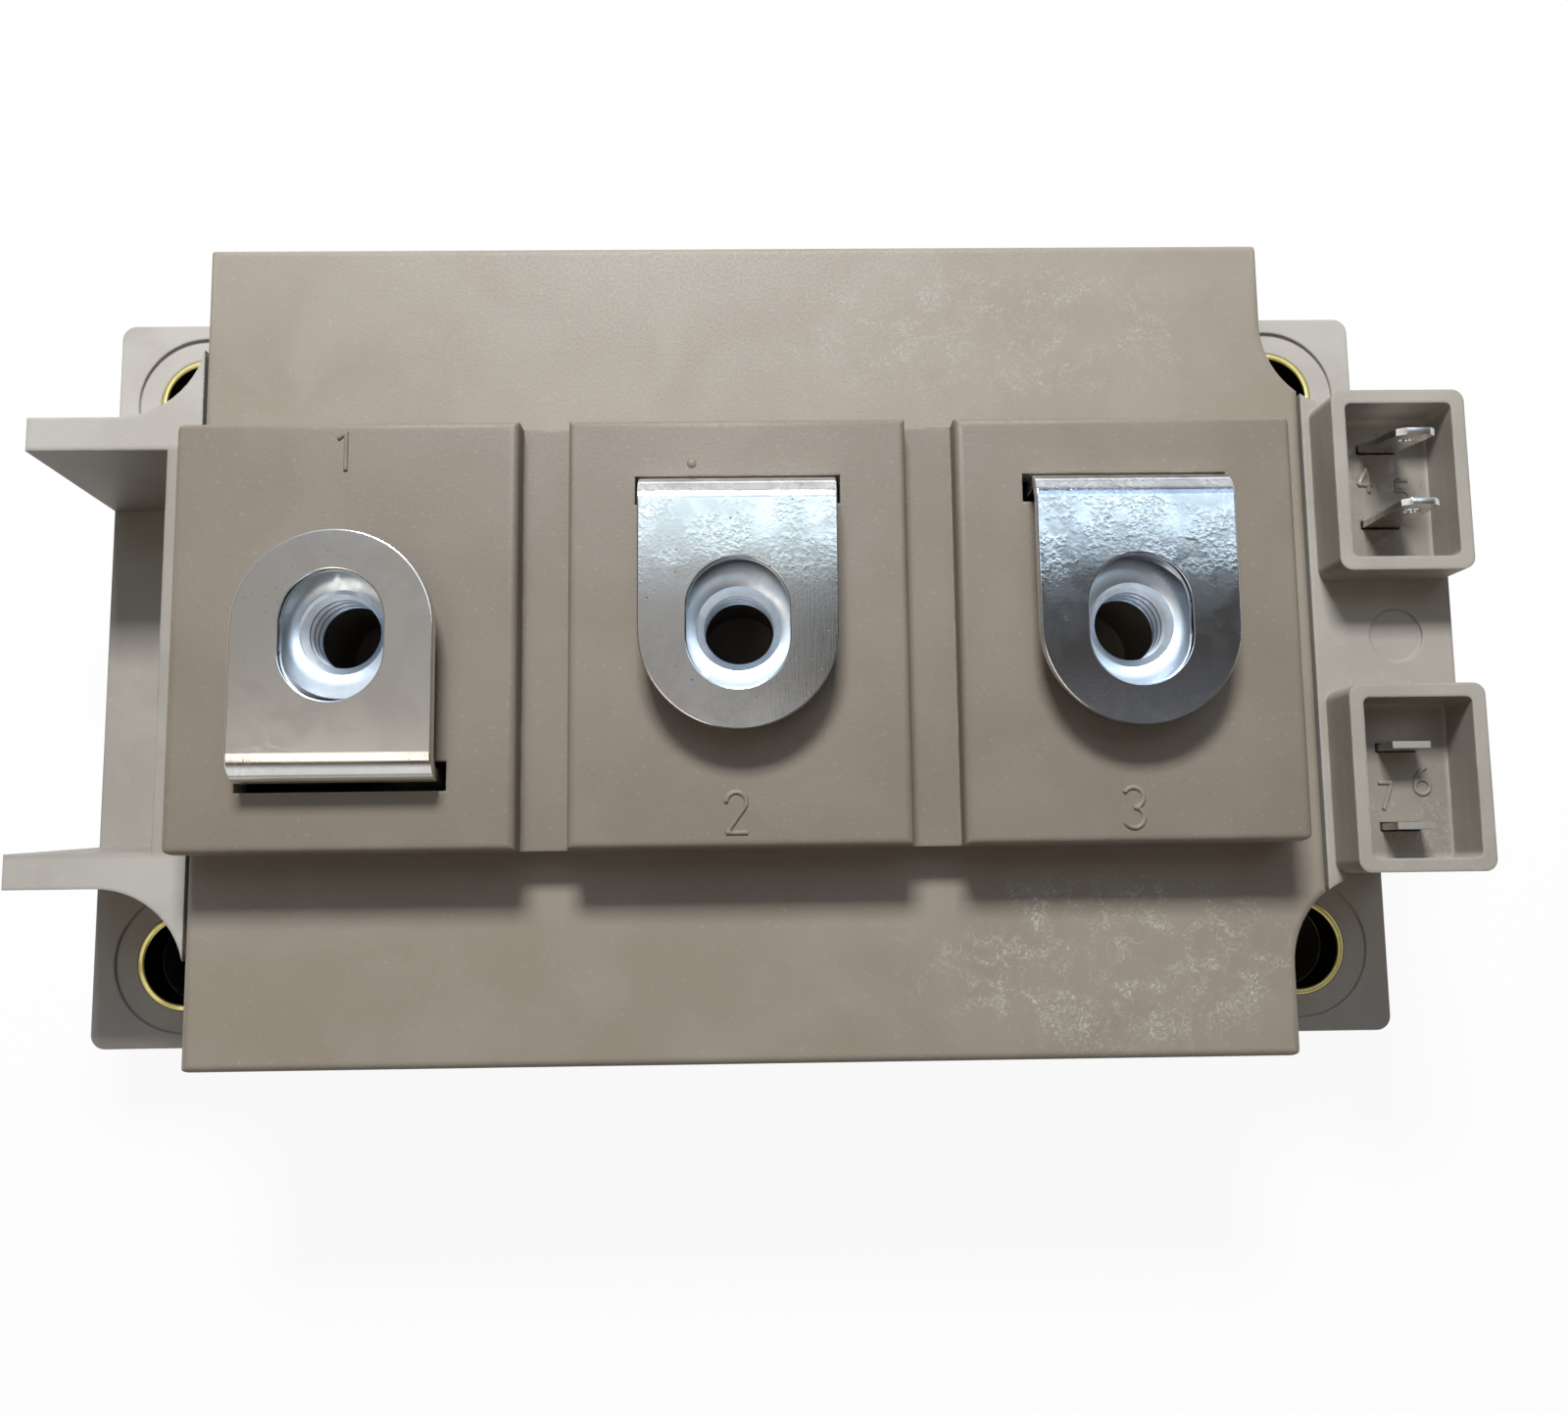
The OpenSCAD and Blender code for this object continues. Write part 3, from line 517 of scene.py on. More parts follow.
def plastic(name, dark, light, worn, patches, darker_blocks, wear=1.0, wet=None):
    made, tree, shader = principled(name, Specular_IOR_Level=0.5)
    place = add(tree, "TexCoord").outputs["Object"]
    texture = use(tree, grain)
    worn_edge = use(tree, edge_wear, Width=0.3 * MM, Amount=wear)
    base = blend(tree, texture["Clouds"], dark, light)
    # each block multiplies the colour by its tone: painted shade on the case, a darker plateau on the lid
    for low, high, tone in darker_blocks:
        base = blend(tree, use(tree, box_mask, Low=low, High=high)["Mask"], base, tone, "MULTIPLY")
    base = blend(tree, maths(tree, "MULTIPLY", texture["Flecks"], 0.06), base, worn)
    lines = use(tree, hairlines, Size=3.4 * MM, Thin=0.008, Gather=4 * MM)["Mask"]
    scuffs = maths(tree, "MULTIPLY", lines, 0.4)
    fibres = ramp(tree, noise(tree, place, 0.55 * MM, 3.0, 0.75, 2.5), 0.46, 0.70)
    rubbed = ramp(tree, noise(tree, place, 3.4 * MM, 4.0, 0.6, 1.5), 0.42, 0.66)
    scuffs = maths(tree, "ADD", scuffs, maths(tree, "MULTIPLY", fibres, rubbed))
    near = 0.0
    for middle, reach, share in patches:
        blot = use(tree, patch, Centre=middle, Reach=reach)["Mask"]
        near = maths(tree, "ADD", near, maths(tree, "MULTIPLY", blot, share))
    base = blend(tree, maths(tree, "MINIMUM", maths(tree, "MULTIPLY", scuffs, near), 0.8), base, worn)
    base = blend(tree, maths(tree, "MULTIPLY", worn_edge["Mask"], 0.5), base, worn)
    dust = use(tree, specks, Spacing=2.6 * MM, Radius=0.04, Share=0.3)["Mask"]
    base = blend(tree, maths(tree, "MULTIPLY", dust, 0.25), base, worn)
    put(tree, shader.inputs["Base Color"], base)
    rough = ramp(tree, texture["Height"], 0.2, 0.8, 0.46, 0.60)
    if wet:
        drops = ramp(tree, noise(tree, place, 1.1 * MM, 2.0), 0.54, 0.60)
        there = maths(tree, "MULTIPLY", drops, use(tree, patch, Centre=wet[0], Reach=wet[1])["Mask"])
        rough = maths(tree, "SUBTRACT", rough, maths(tree, "MULTIPLY", there, 0.38))
    put(tree, shader.inputs["Roughness"], rough)
    bump = add(tree, "Bump", None, Height=texture["Height"], Distance=0.012 * MM, Strength=1.0,
               Normal=worn_edge["Normal"])
    put(tree, shader.inputs["Normal"], bump.outputs["Normal"])
    return made


# %% [markdown]
# The lid's plateau is darker than the steps beside it. On the case, the ledge with its wells and
# rims, the floors of the wells and the pocket between the ribs are darkened: painted shade. Painting
# masks by hand would need a UV map, so each darkened block is a plain box round its own shape.

# %% Mix the two plastics
above, beyond = 40 * MM, 60 * MM
PLATEAU_REACH, WELL_MIDDLE, RIB_FACE, FLANGE_TOP = 20 * MM, 11 * MM, 15.7 * MM, 7 * MM
RIM_DEPTH, WELL_HALF_X, WELL_HALF_Y = 1.5 * MM, 4 * MM, 5.8 * MM

plateau_block = ((lid_low.x - MM, -PLATEAU_REACH, step_z + MM), (lid_high.x + MM, PLATEAU_REACH, above))
# painted shade: the ledge, rim, well-floor and pocket blocks darken the case's colour
ledge_block = ((lid_high.x, -PLATEAU_REACH, FLANGE_TOP), (beyond, PLATEAU_REACH, case_high.z - RIM_DEPTH))
rim_block = ((lid_high.x, -PLATEAU_REACH, case_high.z - RIM_DEPTH - 0.5 * MM), (beyond, PLATEAU_REACH, above))
pocket_block = ((-beyond, -RIB_FACE, FLANGE_TOP - 0.6 * MM), (lid_low.x + 0.5 * MM, RIB_FACE, above))
well_floors = [((well_x - WELL_HALF_X, middle - WELL_HALF_Y, ledge_z - MM),
                (well_x + WELL_HALF_X, middle + WELL_HALF_Y, ledge_z + MM))
               for middle in (-WELL_MIDDLE, WELL_MIDDLE)]
upper_well = (well_x, max(centre(node).y for node in leads) - 3 * MM, ledge_z)

lid_plastic = plastic(
    "lid_plastic", dark=colour(0.222, 0.185, 0.142), light=colour(0.246, 0.210, 0.166),
    worn=colour(0.56, 0.55, 0.50),
    patches=[((27 * MM, -24 * MM, step_z), (17 * MM, 8 * MM, 9 * MM), 0.68),
             ((20 * MM, 24 * MM, step_z), (20 * MM, 7 * MM, 9 * MM), 0.30)],
    darker_blocks=[(*plateau_block, colour(0.77, 0.75, 0.73))])
# painted shade: the case is darkened on its ledge, rims, well floors and pocket
case_plastic = plastic(
    "case_plastic", dark=colour(0.34, 0.312, 0.276), light=colour(0.39, 0.365, 0.328),
    worn=colour(0.68, 0.66, 0.62),
    patches=[((50 * MM, -18 * MM, ledge_z), (8 * MM, 8 * MM, 8 * MM), 0.25)],
    darker_blocks=[(*ledge_block, colour(0.84, 0.82, 0.79)), (*rim_block, colour(0.84, 0.82, 0.78)),
             *[(*floor_block, colour(0.69, 0.67, 0.65)) for floor_block in well_floors],
             (*pocket_block, colour(0.76, 0.74, 0.71))],
    wear=0.7, wet=(upper_well, (4.5 * MM, 6 * MM, 3 * MM)))
print("plastics:", lid_plastic.name, case_plastic.name)

# %% [markdown]
# ## Metals
#
# The terminals are copper strip under a nickel plate, scratched where screws and rings were
# clamped on them. The nuts are zinc plated with the usual blue cast, the bushes have a yellow
# chromate film and the signal tabs are tinned. One recipe serves all of them: a cloudy tint, thin
# scratches, pits, crystals in the plating and the fine lines of drawn strip, each as strong as asked.

# %% Write the metal recipe
def metal(name, tint, stain, smooth_finish, rough_finish, scratch=0.5, pits=0.0, grit=0.0, drawn=0.0,
          painted_bore_shade=None):
    """grit is a crystalline mottle, drawn the fine lines of rolled strip, the last a dark painted shade for
    upright walls.
    """
    bright = colour(0.88, 0.90, 0.92)
    made, tree, shader = principled(name, Metallic=1.0)
    place = add(tree, "TexCoord").outputs["Object"]
    clouds = ramp(tree, noise(tree, place, 3.2 * MM, 4.0, 0.68, 0.5), 0.36, 0.64)
    lines = use(tree, hairlines, Size=13 * MM, Thin=0.0022, Gather=5 * MM)["Mask"]
    base = blend(tree, clouds, stain, tint)
    base = blend(tree, maths(tree, "MULTIPLY", lines, scratch), base, bright)
    wear = maths(tree, "MULTIPLY", lines, scratch)
    height = maths(tree, "MULTIPLY", noise(tree, place, 0.25 * MM, 2.0), 0.3)
    if pits:
        pitted = maths(tree, "MULTIPLY", use(tree, specks, Spacing=0.55 * MM, Radius=0.17, Share=0.5)["Mask"],
                       ramp(tree, noise(tree, place, 3 * MM, 2.0), 0.48, 0.60, 0.0, pits))
        base = blend(tree, pitted, base, colour(0.05, 0.045, 0.04))
        wear = maths(tree, "MAXIMUM", wear, pitted)
    if grit:
        crystals = ramp(tree, noise(tree, place, 0.34 * MM, 3.0, 0.65), 0.38, 0.62)
        along = add(tree, "SeparateXYZ", None, Vector=place).outputs["Y"]
        banded = maths(tree, "MULTIPLY", ramp(tree, along, 1.5 * MM, 6 * MM, 0.05, 1.0),
                       ramp(tree, noise(tree, place, 2.5 * MM, 3.0), 0.40, 0.60))
        crystals = maths(tree, "MULTIPLY", crystals, banded)
        height = maths(tree, "ADD", height, maths(tree, "MULTIPLY", crystals, grit))
        base = blend(tree, maths(tree, "MULTIPLY", crystals, 0.5), base, bright)
    if drawn:
        lengthwise = add(tree, "Mapping", None, Vector=place, Scale=(1.0, 0.04, 0.04)).outputs["Vector"]
        strokes = noise(tree, lengthwise, 0.11 * MM, 1.0)
        height = maths(tree, "ADD", height, maths(tree, "MULTIPLY", strokes, drawn))
    # painted shade: upright walls, such as the inside of a bush, are coloured nearly black
    if painted_bore_shade:
        facing = add(tree, "SeparateXYZ", None, Vector=add(tree, "TexCoord").outputs["Normal"]).outputs["Z"]
        base = blend(tree, ramp(tree, facing, 0.25, 0.6), painted_bore_shade, base)
    put(tree, shader.inputs["Base Color"], base)
    finish = ramp(tree, clouds, 0.0, 1.0, rough_finish, smooth_finish)
    put(tree, shader.inputs["Roughness"], maths(tree, "ADD", finish, maths(tree, "MULTIPLY", wear, 0.15)))
    height = maths(tree, "SUBTRACT", height, maths(tree, "MULTIPLY", wear, 0.6))
    bump = add(tree, "Bump", None, Height=height, Distance=0.005 * MM, Strength=1.0)
    put(tree, shader.inputs["Normal"], bump.outputs["Normal"])
    return made


# %% [markdown]
# The three terminals were plated in one bath but are not worn alike: the first is dull and nearly
# clean, the second and third are brighter, with crystals near the fold. The colours of metals are
# kept under 0.9, because even new plating swallows some light.

# %% Mix the metals
nickel = metal("nickel", colour(0.66, 0.67, 0.68), colour(0.54, 0.54, 0.54), 0.09, 0.13,
               scratch=0.2, pits=0.9, grit=0.6, drawn=0.5)
mottled_nickel = metal("mottled_nickel", colour(0.60, 0.63, 0.68), colour(0.46, 0.48, 0.52), 0.08, 0.12,
                       scratch=0.25, pits=0.8, grit=0.9, drawn=0.5)
dull_nickel = metal("dull_nickel", colour(0.66, 0.65, 0.63), colour(0.61, 0.60, 0.58), 0.14, 0.18,
                    scratch=0.18, pits=0.3, drawn=0.5)
zinc = metal("zinc", colour(0.80, 0.90, 1.0), colour(0.66, 0.74, 0.84), 0.30, 0.36, scratch=0.3)
# the bushes' upright bore walls take a nearly black colour: painted shade
chromate = metal("yellow_chromate", colour(0.80, 0.74, 0.30), colour(0.62, 0.52, 0.20), 0.30, 0.42,
                 scratch=0.2, painted_bore_shade=colour(0.06, 0.045, 0.02))
tin = metal("tin", colour(0.80, 0.80, 0.78), colour(0.60, 0.59, 0.55), 0.16, 0.28, scratch=0.3)
dull_tin = metal("dull_tin", colour(0.58, 0.55, 0.50), colour(0.46, 0.43, 0.38), 0.42, 0.50, scratch=0.2)
plate_nickel = metal("plate_nickel", colour(0.66, 0.64, 0.60), colour(0.55, 0.52, 0.48), 0.30, 0.42)
bare_copper = metal("bare_copper", colour(0.86, 0.50, 0.32), colour(0.66, 0.36, 0.23), 0.30, 0.42,
                    scratch=0.2)
aluminium = metal("aluminium", colour(0.84, 0.84, 0.85), colour(0.74, 0.74, 0.76), 0.25, 0.35, scratch=0.1)
print("metals:", [made.name for made in (nickel, mottled_nickel, dull_nickel, zinc, chromate, tin,
                                         dull_tin, plate_nickel, bare_copper, aluminium)])

# %% [markdown]
# ## What is inside
#
# Nobody sees the boards in the finished module, but they are there, and a section view would show
# them: white ceramic, dark silicon with a violet cast, and clear gel over everything.

# %% Mix the inner materials
def speckled(name, base, mark, rough, size):
    made, tree, shader = principled(name)
    place = add(tree, "TexCoord").outputs["Object"]
    clouds = ramp(tree, noise(tree, place, size, 4.0), 0.35, 0.65)
    put(tree, shader.inputs["Base Color"], blend(tree, clouds, base, mark))
    put(tree, shader.inputs["Roughness"], ramp(tree, clouds, 0.0, 1.0, rough, rough + 0.1))
    return made, shader


ceramic = speckled("ceramic", colour(0.86, 0.84, 0.78), colour(0.80, 0.77, 0.70), 0.5, 1.5 * MM)[0]
silicon = speckled("silicon", colour(0.10, 0.10, 0.14), colour(0.14, 0.13, 0.20), 0.16, 4 * MM)[0]
gel, gel_shader = speckled("gel", colour(0.80, 0.86, 0.90), colour(0.74, 0.80, 0.86), 0.05, 8 * MM)
gel_shader.inputs["Transmission Weight"].default_value = 0.85
gel_shader.inputs["IOR"].default_value = 1.41
print("inner materials mixed")


# %% [markdown]
# Every node of the frame gets its finish now, the hidden ones too, by name. A node that a finer piece
# stands for later keeps its finish all the same, so nothing is bare if that piece is left out.

# %% Dress the frame's own nodes
def dress(node, material):
    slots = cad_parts[node].data.materials
    slots.clear()
    slots.append(material)


looks = {"base_plate": plate_nickel, "link_wires": aluminium, "silicone_gel": gel,
         "case_frame": case_plastic, "lid": lid_plastic}
looks.update({node: chromate for node in bushes})
looks.update({node: tin for node in leads})
looks.update({node: nickel for node in terminals})
looks.update({node: zinc for node in nuts})
looks["main_terminal_1"] = dull_nickel
for side in ("left", "right"):
    looks.update({f"{kind}_{side}": bare_copper
                  for kind in ("back_copper", "collector_track", "emitter_track", "signal_tracks")})
    looks[f"ceramic_board_{side}"] = ceramic
    looks[f"bond_wires_{side}"] = aluminium
for k in (1, 2, 3, 4):
    looks[f"switch_chip_{k}"] = silicon
    looks[f"diode_chip_{k}"] = silicon
for node, material in looks.items():
    dress(node, material)
print(f"{len(looks)} nodes dressed")

# %% [markdown]
# ## Pieces
#
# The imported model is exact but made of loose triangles, which shade as flats. Each part that shows is
# therefore copied: the copy gets its points merged and its flat faces made whole, is shaded smooth
# across its roundings, and then stands for the node. Sizes stay as they are in the frame.

# %% Helpers for pieces
def choose(piece):
    bpy.ops.object.select_all(action="DESELECT")
    piece.select_set(True)
    bpy.context.view_layer.objects.active = piece


def apply_all(piece):
    choose(piece)
    for modifier in list(piece.modifiers):
        bpy.ops.object.modifier_apply(modifier=modifier.name)


def smooth(piece, degrees=32):
    """Smooth shading that leaves the large flats flat, because they count most at each corner."""
    choose(piece)
    bpy.ops.object.shade_smooth_by_angle(angle=math.radians(degrees))
    weighted = piece.modifiers.new("weighted", "WEIGHTED_NORMAL")
    weighted.keep_sharp = True
    weighted.weight = 80
    apply_all(piece)


def settle(piece, name, material):
    """Gives a finished shape its name, finish and body, with its origin in the origin of the frame."""
    choose(piece)
    bpy.ops.object.transform_apply(location=True, rotation=True, scale=True)
    piece.name = name
    piece.data.materials.clear()
    piece.data.materials.append(material)
    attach(piece, "root")


def copy_of(node, name, material):
    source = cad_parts[node]
    piece = source.copy()
    piece.data = source.data.copy()
    bpy.context.collection.objects.link(piece)
    piece.parent = None
    piece.matrix_world = source.matrix_world
    settle(piece, name, material)
    bpy.ops.mesh.customdata_custom_splitnormals_clear()
    bpy.ops.object.mode_set(mode="EDIT")
    bpy.ops.mesh.select_all(action="SELECT")
    bpy.ops.mesh.remove_doubles(threshold=0.002 * MM)
    bpy.ops.mesh.dissolve_limited(angle_limit=math.radians(0.4))
    bpy.ops.mesh.normals_make_consistent(inside=False)
    bpy.ops.object.mode_set(mode="OBJECT")
    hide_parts(node)
    return piece


def bevel_where(piece, chosen, width, steps=2):
    """Rounds the sharp edges whose two ends both pass the test."""
    choose(piece)
    bpy.ops.object.mode_set(mode="EDIT")
    bpy.ops.mesh.select_mode(type="EDGE")
    bpy.ops.mesh.select_all(action="DESELECT")
    bpy.ops.mesh.edges_select_sharp(sharpness=math.radians(50))
    bpy.ops.object.mode_set(mode="OBJECT")
    points = piece.data.vertices
    count = 0
    for edge in piece.data.edges:
        edge.select = edge.select and all(chosen(points[corner].co) for corner in edge.vertices)
        count += edge.select
    bpy.ops.object.mode_set(mode="EDIT")
    bpy.ops.mesh.bevel(offset=width, segments=steps, affect="EDGES", clamp_overlap=True)
    bpy.ops.object.mode_set(mode="OBJECT")
    return count


def cut(piece, cutter):
    boolean = piece.modifiers.new("cut", "BOOLEAN")
    boolean.operation = "DIFFERENCE"
    boolean.solver = "EXACT"
    boolean.object = cutter
    apply_all(piece)
    bpy.data.objects.remove(cutter)


# %% [markdown]
# **Lid and case.** The upper edges of the lid are round already. The case gets its roundings here:
# the rims of the wells, the upper edges of the ribs and ledge, and the edge of the flange. A bevel
# picked by height reaches just those, where a bevel of the whole solid would also catch its slots.

# %% Make the lid and the case
lid = copy_of("lid", "moulded_lid", lid_plastic)
smooth(lid)
case = copy_of("case_frame", "moulded_case", case_plastic)
flange_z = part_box("mounting_bush_1")[1].z
near = 0.02 * MM
OUTER_BAND, END_BAND = 1.3 * MM, 1.0 * MM


def on_flange_edge(point):
    outermost = abs(point.x) > case_high.x - OUTER_BAND or abs(point.y) > case_high.y - OUTER_BAND
    return abs(point.z - flange_z) < 0.3 * MM and outermost


def at_ledge_height(point):
    return abs(point.z - ledge_z) < near


rims = bevel_where(case, lambda point: point.z > case_high.z - near, 0.22 * MM, 3)
flange_edge = bevel_where(case, on_flange_edge, 0.4 * MM, 3)
rib_edges = bevel_where(case, lambda point: at_ledge_height(point) and point.x < lid_low.x, 0.3 * MM, 3)
ledge_edge = bevel_where(
    case, lambda point: at_ledge_height(point) and point.x > case_high.x - END_BAND, 0.3 * MM, 3)
smooth(case)
print(f"case: {rims} rim, {flange_edge} flange, {rib_edges} rib and {ledge_edge} ledge edges rounded,",
      len(case.data.polygons), "faces; lid:", len(lid.data.polygons))

# %% [markdown]
# **Terminals and signal tabs.** Stamped strip has a rounded edge on the punch side and a burr on the
# other. A narrow bevel along every sharp edge is enough: it is what draws the bright outline of a tab
# from above. The folds are smooth, so an angle limit keeps the bevel off them.

# %% Make the terminals, tabs and bushes
def softened(piece, width, steps=2):
    bevel = piece.modifiers.new("edge", "BEVEL")
    bevel.width = width
    bevel.segments = steps
    bevel.limit_method = "ANGLE"
    bevel.angle_limit = math.radians(40)
    apply_all(piece)
    smooth(piece)
    return piece


for node, material in zip(terminals, (dull_nickel, nickel, mottled_nickel)):
    softened(copy_of(node, "folded_" + node, material), 0.13 * MM)
for node in leads:
    finish = tin if centre(node).y > 0 else dull_tin
    softened(copy_of(node, "stamped_" + node, finish), 0.06 * MM)
for node in bushes:
    softened(copy_of(node, "pressed_" + node, chromate), 0.22 * MM, 3)
print("terminals, tabs and bushes made")

# %% [markdown]
# **Threaded nuts.** A bore with real threads catches light as fine curved lines, and it shows through
# the hole of each tab. The groove is cut as in a workshop: a three-sided tool winds up through the
# bore, one turn per millimetre, and a shallow cone opens the mouth. Rings would be cheaper, but they
# don't climb, and that can be seen where the lines meet the mouth.

# %% Cut the threads
PITCH, BORE_R, CREST_R = 1.0 * MM, 2.4 * MM, 3.05 * MM
MOUTH_R, MOUTH_DEPTH = 4.0 * MM, 0.5 * MM
TRIANGLE_R = 0.5 * MM


def thread_tool(place, turns):
    """A V-shaped bar that winds round a vertical axis."""
    bpy.ops.mesh.primitive_circle_add(vertices=3, radius=TRIANGLE_R, fill_type="NOTHING", location=place,
                                      rotation=(math.radians(90), 0, 0))
    tool = bpy.context.object
    bpy.ops.object.transform_apply(location=False, rotation=True, scale=True)
    bpy.ops.object.mode_set(mode="EDIT")
    bpy.ops.mesh.select_all(action="SELECT")
    bpy.ops.transform.rotate(value=math.radians(-90), orient_axis="Y", center_override=place)
    tall = 0.94 * PITCH / (2 * TRIANGLE_R * math.sin(math.radians(60)))
    deep = (CREST_R - BORE_R) / (1.5 * TRIANGLE_R)
    bpy.ops.transform.resize(value=(deep, 1, tall), center_override=place)
    bpy.ops.transform.translate(value=(BORE_R + TRIANGLE_R / 2 * deep, 0, 0))
    bpy.ops.object.mode_set(mode="OBJECT")
    wind = tool.modifiers.new("wind", "SCREW")
    wind.screw_offset = PITCH
    wind.iterations = turns
    wind.steps = wind.render_steps = 32
    apply_all(tool)
    bpy.ops.object.mode_set(mode="EDIT")
    bpy.ops.mesh.select_all(action="SELECT")
    bpy.ops.mesh.remove_doubles(threshold=0.002 * MM)
    bpy.ops.mesh.fill_holes(sides=3)
    bpy.ops.mesh.select_all(action="SELECT")
    bpy.ops.mesh.normals_make_consistent(inside=False)
    bpy.ops.object.mode_set(mode="OBJECT")
    return tool


for node in nuts:
    nut = copy_of(node, "threaded_" + node, zinc)
    low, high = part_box(node)
    middle = centre(node)
    turns = math.ceil((high.z - low.z) / PITCH) + 2
    cut(nut, thread_tool(Vector((middle.x, middle.y, low.z - PITCH)), turns))
    bpy.ops.mesh.primitive_cone_add(vertices=64, radius1=BORE_R, radius2=MOUTH_R, depth=MOUTH_DEPTH,
                                    location=(middle.x, middle.y, high.z - MOUTH_DEPTH / 2 + 0.01 * MM))
    cut(nut, bpy.context.object)
    smooth(nut, 25)
    print(nut.name, len(nut.data.polygons), "faces")

# %% [markdown]
# **Moulded marks.** Each screw terminal and each signal tab has its number, raised from the plastic
# in a thin round-backed line, as an engraver's ball cutter leaves it in the mould. A text object
# would bring a typeface, so the numbers are drawn with two tools only: a bar and a bow.

# %% Make the two drawing tools
LINE_W, LINE_H = 0.34 * MM, 0.16 * MM


def line_end(place, heading):
    """The half-round end of a line, as a face square to its heading, left in edit mode."""
    bpy.ops.mesh.primitive_circle_add(vertices=12, radius=LINE_W / 2, fill_type="NGON", location=place,
                                      rotation=(math.radians(90), 0, heading))
    bpy.ops.object.mode_set(mode="EDIT")
    bpy.ops.mesh.select_all(action="SELECT")
    bpy.ops.transform.resize(value=(1, 1, 2 * LINE_H / LINE_W), center_override=place)


def bar(start, end):
    """A straight line with a rounded back."""
    step = Vector(end) - Vector(start)
    line_end(start, math.atan2(step.y, step.x) - math.pi / 2)
    bpy.ops.mesh.extrude_region_move(TRANSFORM_OT_translate={"value": step})
    bpy.ops.object.mode_set(mode="OBJECT")
    return bpy.context.object


def bow(middle, radius, start, end):
    """An arc with a rounded back, from one angle to another in degrees, anticlockwise."""
    middle, turn = Vector(middle), math.radians(start)
    line_end(middle + Vector((radius * math.cos(turn), radius * math.sin(turn), 0)), turn)
    bpy.ops.mesh.spin(steps=max(4, round((end - start) / 12)), angle=-math.radians(end - start),
                      center=middle, axis=(0, 0, 1))
    bpy.ops.object.mode_set(mode="OBJECT")
    return bpy.context.object


print(f"tools for lines {LINE_W / MM:.2f} mm wide and {LINE_H / MM:.2f} mm high")

# %% [markdown]
# Each numeral is a short list of strokes, drawn one unit high round its own middle, so that one list
# serves both sizes. A bar runs from point to point. A bow has a middle, a radius and two angles.

# %% List the strokes
NUMERALS = {
    1: [(bar, (-0.15, 0.32), (0.05, 0.5)), (bar, (0.05, 0.5), (0.05, -0.5))],
    2: [(bow, (0, 0.25), 0.25, -35, 180), (bar, (0.2, 0.1), (-0.24, -0.5)),
        (bar, (-0.26, -0.5), (0.28, -0.5))],
    3: [(bow, (0, 0.25), 0.25, -90, 150), (bow, (0, -0.25), 0.25, -150, 90)],
    4: [(bar, (0.12, 0.5), (-0.27, -0.2)), (bar, (-0.27, -0.2), (0.28, -0.2)),
        (bar, (0.12, 0.5), (0.12, -0.5))],
    5: [(bar, (0.22, 0.5), (-0.2, 0.5)), (bar, (-0.2, 0.5), (-0.2, 0.03)),
        (bow, (-0.02, -0.2), 0.3, -140, 128)],
    6: [(bow, (0, -0.22), 0.28, -90, 90), (bow, (0, -0.22), 0.28, 90, 270),
        (bow, (0.52, -0.22), 0.8, 115, 180)],
    7: [(bar, (-0.26, 0.5), (0.26, 0.5)), (bar, (0.26, 0.5), (-0.1, -0.5))],
}
print(len(NUMERALS), "numerals,", sum(len(strokes) for strokes in NUMERALS.values()), "strokes")

# %% [markdown]
# A numeral goes beside the hole of its terminal, on the side that the fold leaves free, and beside
# the foot of its signal tab, on the floor of the well. It takes the finish of the part it belongs to.

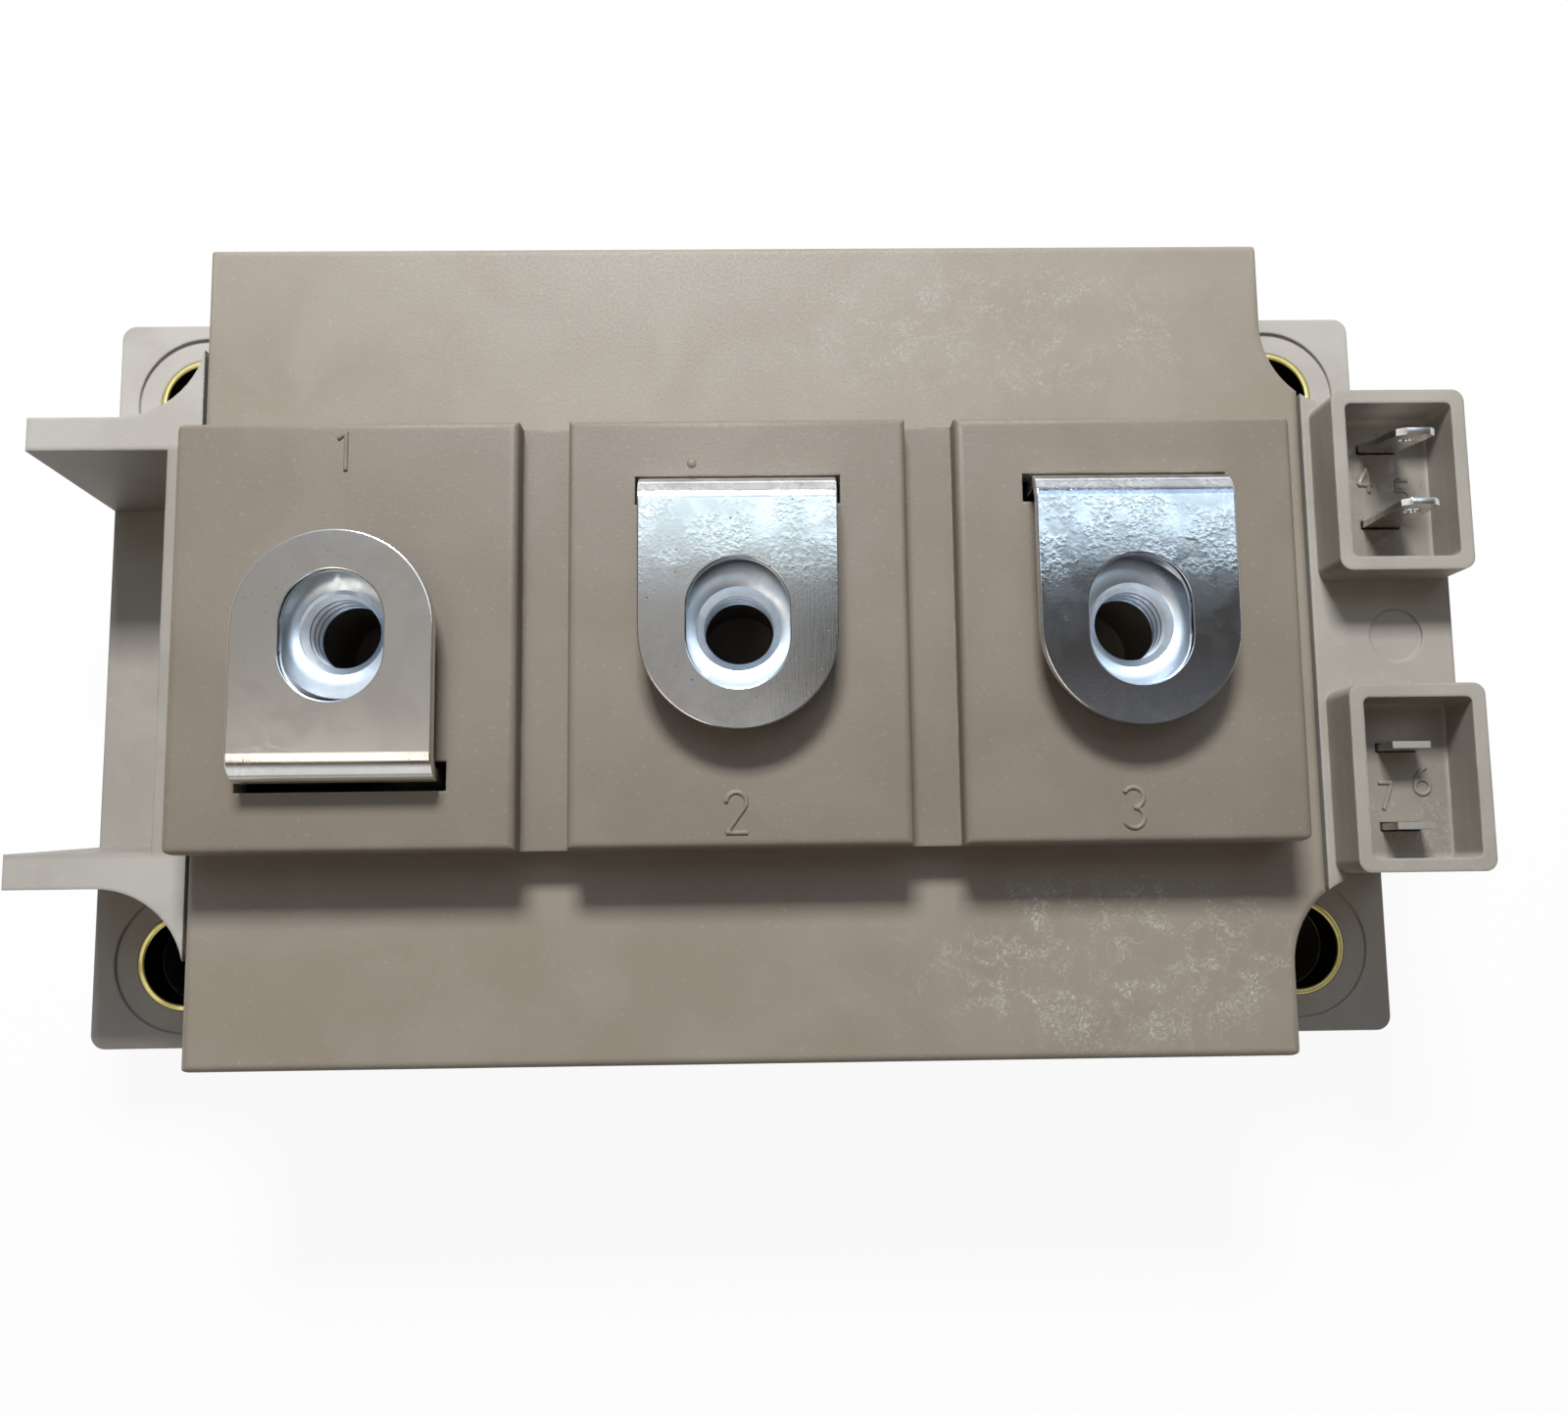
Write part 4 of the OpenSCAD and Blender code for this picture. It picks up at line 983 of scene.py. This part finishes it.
# %% Write the numbers
def write(number, middle, height, material):
    """Draws a numeral as one piece, height tall, round its middle."""
    strokes = []
    for tool, *points in NUMERALS[number]:
        placed = [Vector(middle) + Vector((*p, 0)) * height if isinstance(p, tuple) else p for p in points]
        if tool is bow:
            placed[1] *= height
        strokes.append(tool(*placed))
    bpy.ops.object.select_all(action="DESELECT")
    for stroke in strokes:
        stroke.select_set(True)
    bpy.context.view_layer.objects.active = strokes[0]
    bpy.ops.object.join()
    numeral = bpy.context.object
    choose(numeral)
    bpy.ops.object.mode_set(mode="EDIT")
    bpy.ops.mesh.select_all(action="SELECT")
    bpy.ops.mesh.normals_make_consistent(inside=False)
    bpy.ops.object.mode_set(mode="OBJECT")
    settle(numeral, f"numeral_{number}", material)
    smooth(numeral, 50)


TERMINAL_NUMERAL, TAB_NUMERAL = 2.85 * MM, 2.0 * MM

for number, away in ((1, 13.3 * MM), (2, -13.0 * MM), (3, -13.0 * MM)):
    place = (centre(f"terminal_nut_{number}").x - 0.3 * MM, away, plateau_z)
    write(number, place, TERMINAL_NUMERAL, lid_plastic)
tabs = sorted(leads, key=lambda node: -centre(node).y)
beside_tab = ((-1.0, -2.3), (1.8, 2.5), (1.8, -2.5), (-1.0, 2.3))
for number, (node, (across, along)) in enumerate(zip(tabs, beside_tab), 4):
    place = (well_x + across * MM, centre(node).y + along * MM, ledge_z)
    write(number, place, TAB_NUMERAL, case_plastic)

# %% [markdown]
# **Gate mark.** Behind the middle terminal a small pip shows where the plastic ran into the mould. It
# is the cap of a sphere, cut off at the surface and pressed flatter.

# %% Add the gate mark
gate_place = (centre("main_terminal_2").x - 3.3 * MM, centre("terminal_nut_2").y + 12.2 * MM, plateau_z)
bpy.ops.mesh.primitive_uv_sphere_add(segments=20, ring_count=10, radius=0.34 * MM, location=gate_place)
bpy.ops.object.mode_set(mode="EDIT")
bpy.ops.mesh.bisect(plane_co=(0, 0, plateau_z - 0.05 * MM), plane_no=(0, 0, 1),
                    clear_inner=True, use_fill=True)
bpy.ops.mesh.select_all(action="SELECT")
bpy.ops.transform.resize(value=(1, 1, 0.5), center_override=(0, 0, plateau_z))
bpy.ops.object.mode_set(mode="OBJECT")
settle(bpy.context.object, "gate_mark", lid_plastic)
smooth(bpy.context.object, 50)
print("gate mark at", [round(value / MM, 1) for value in gate_place])

# %% [markdown]
# ## Measure and finish
#
# The dressed module has to fill the same box as the imported one, so its size over all is printed.

low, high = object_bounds()
print(f"dressed: {[round(v / MM, 2) for v in high - low]} mm over all")
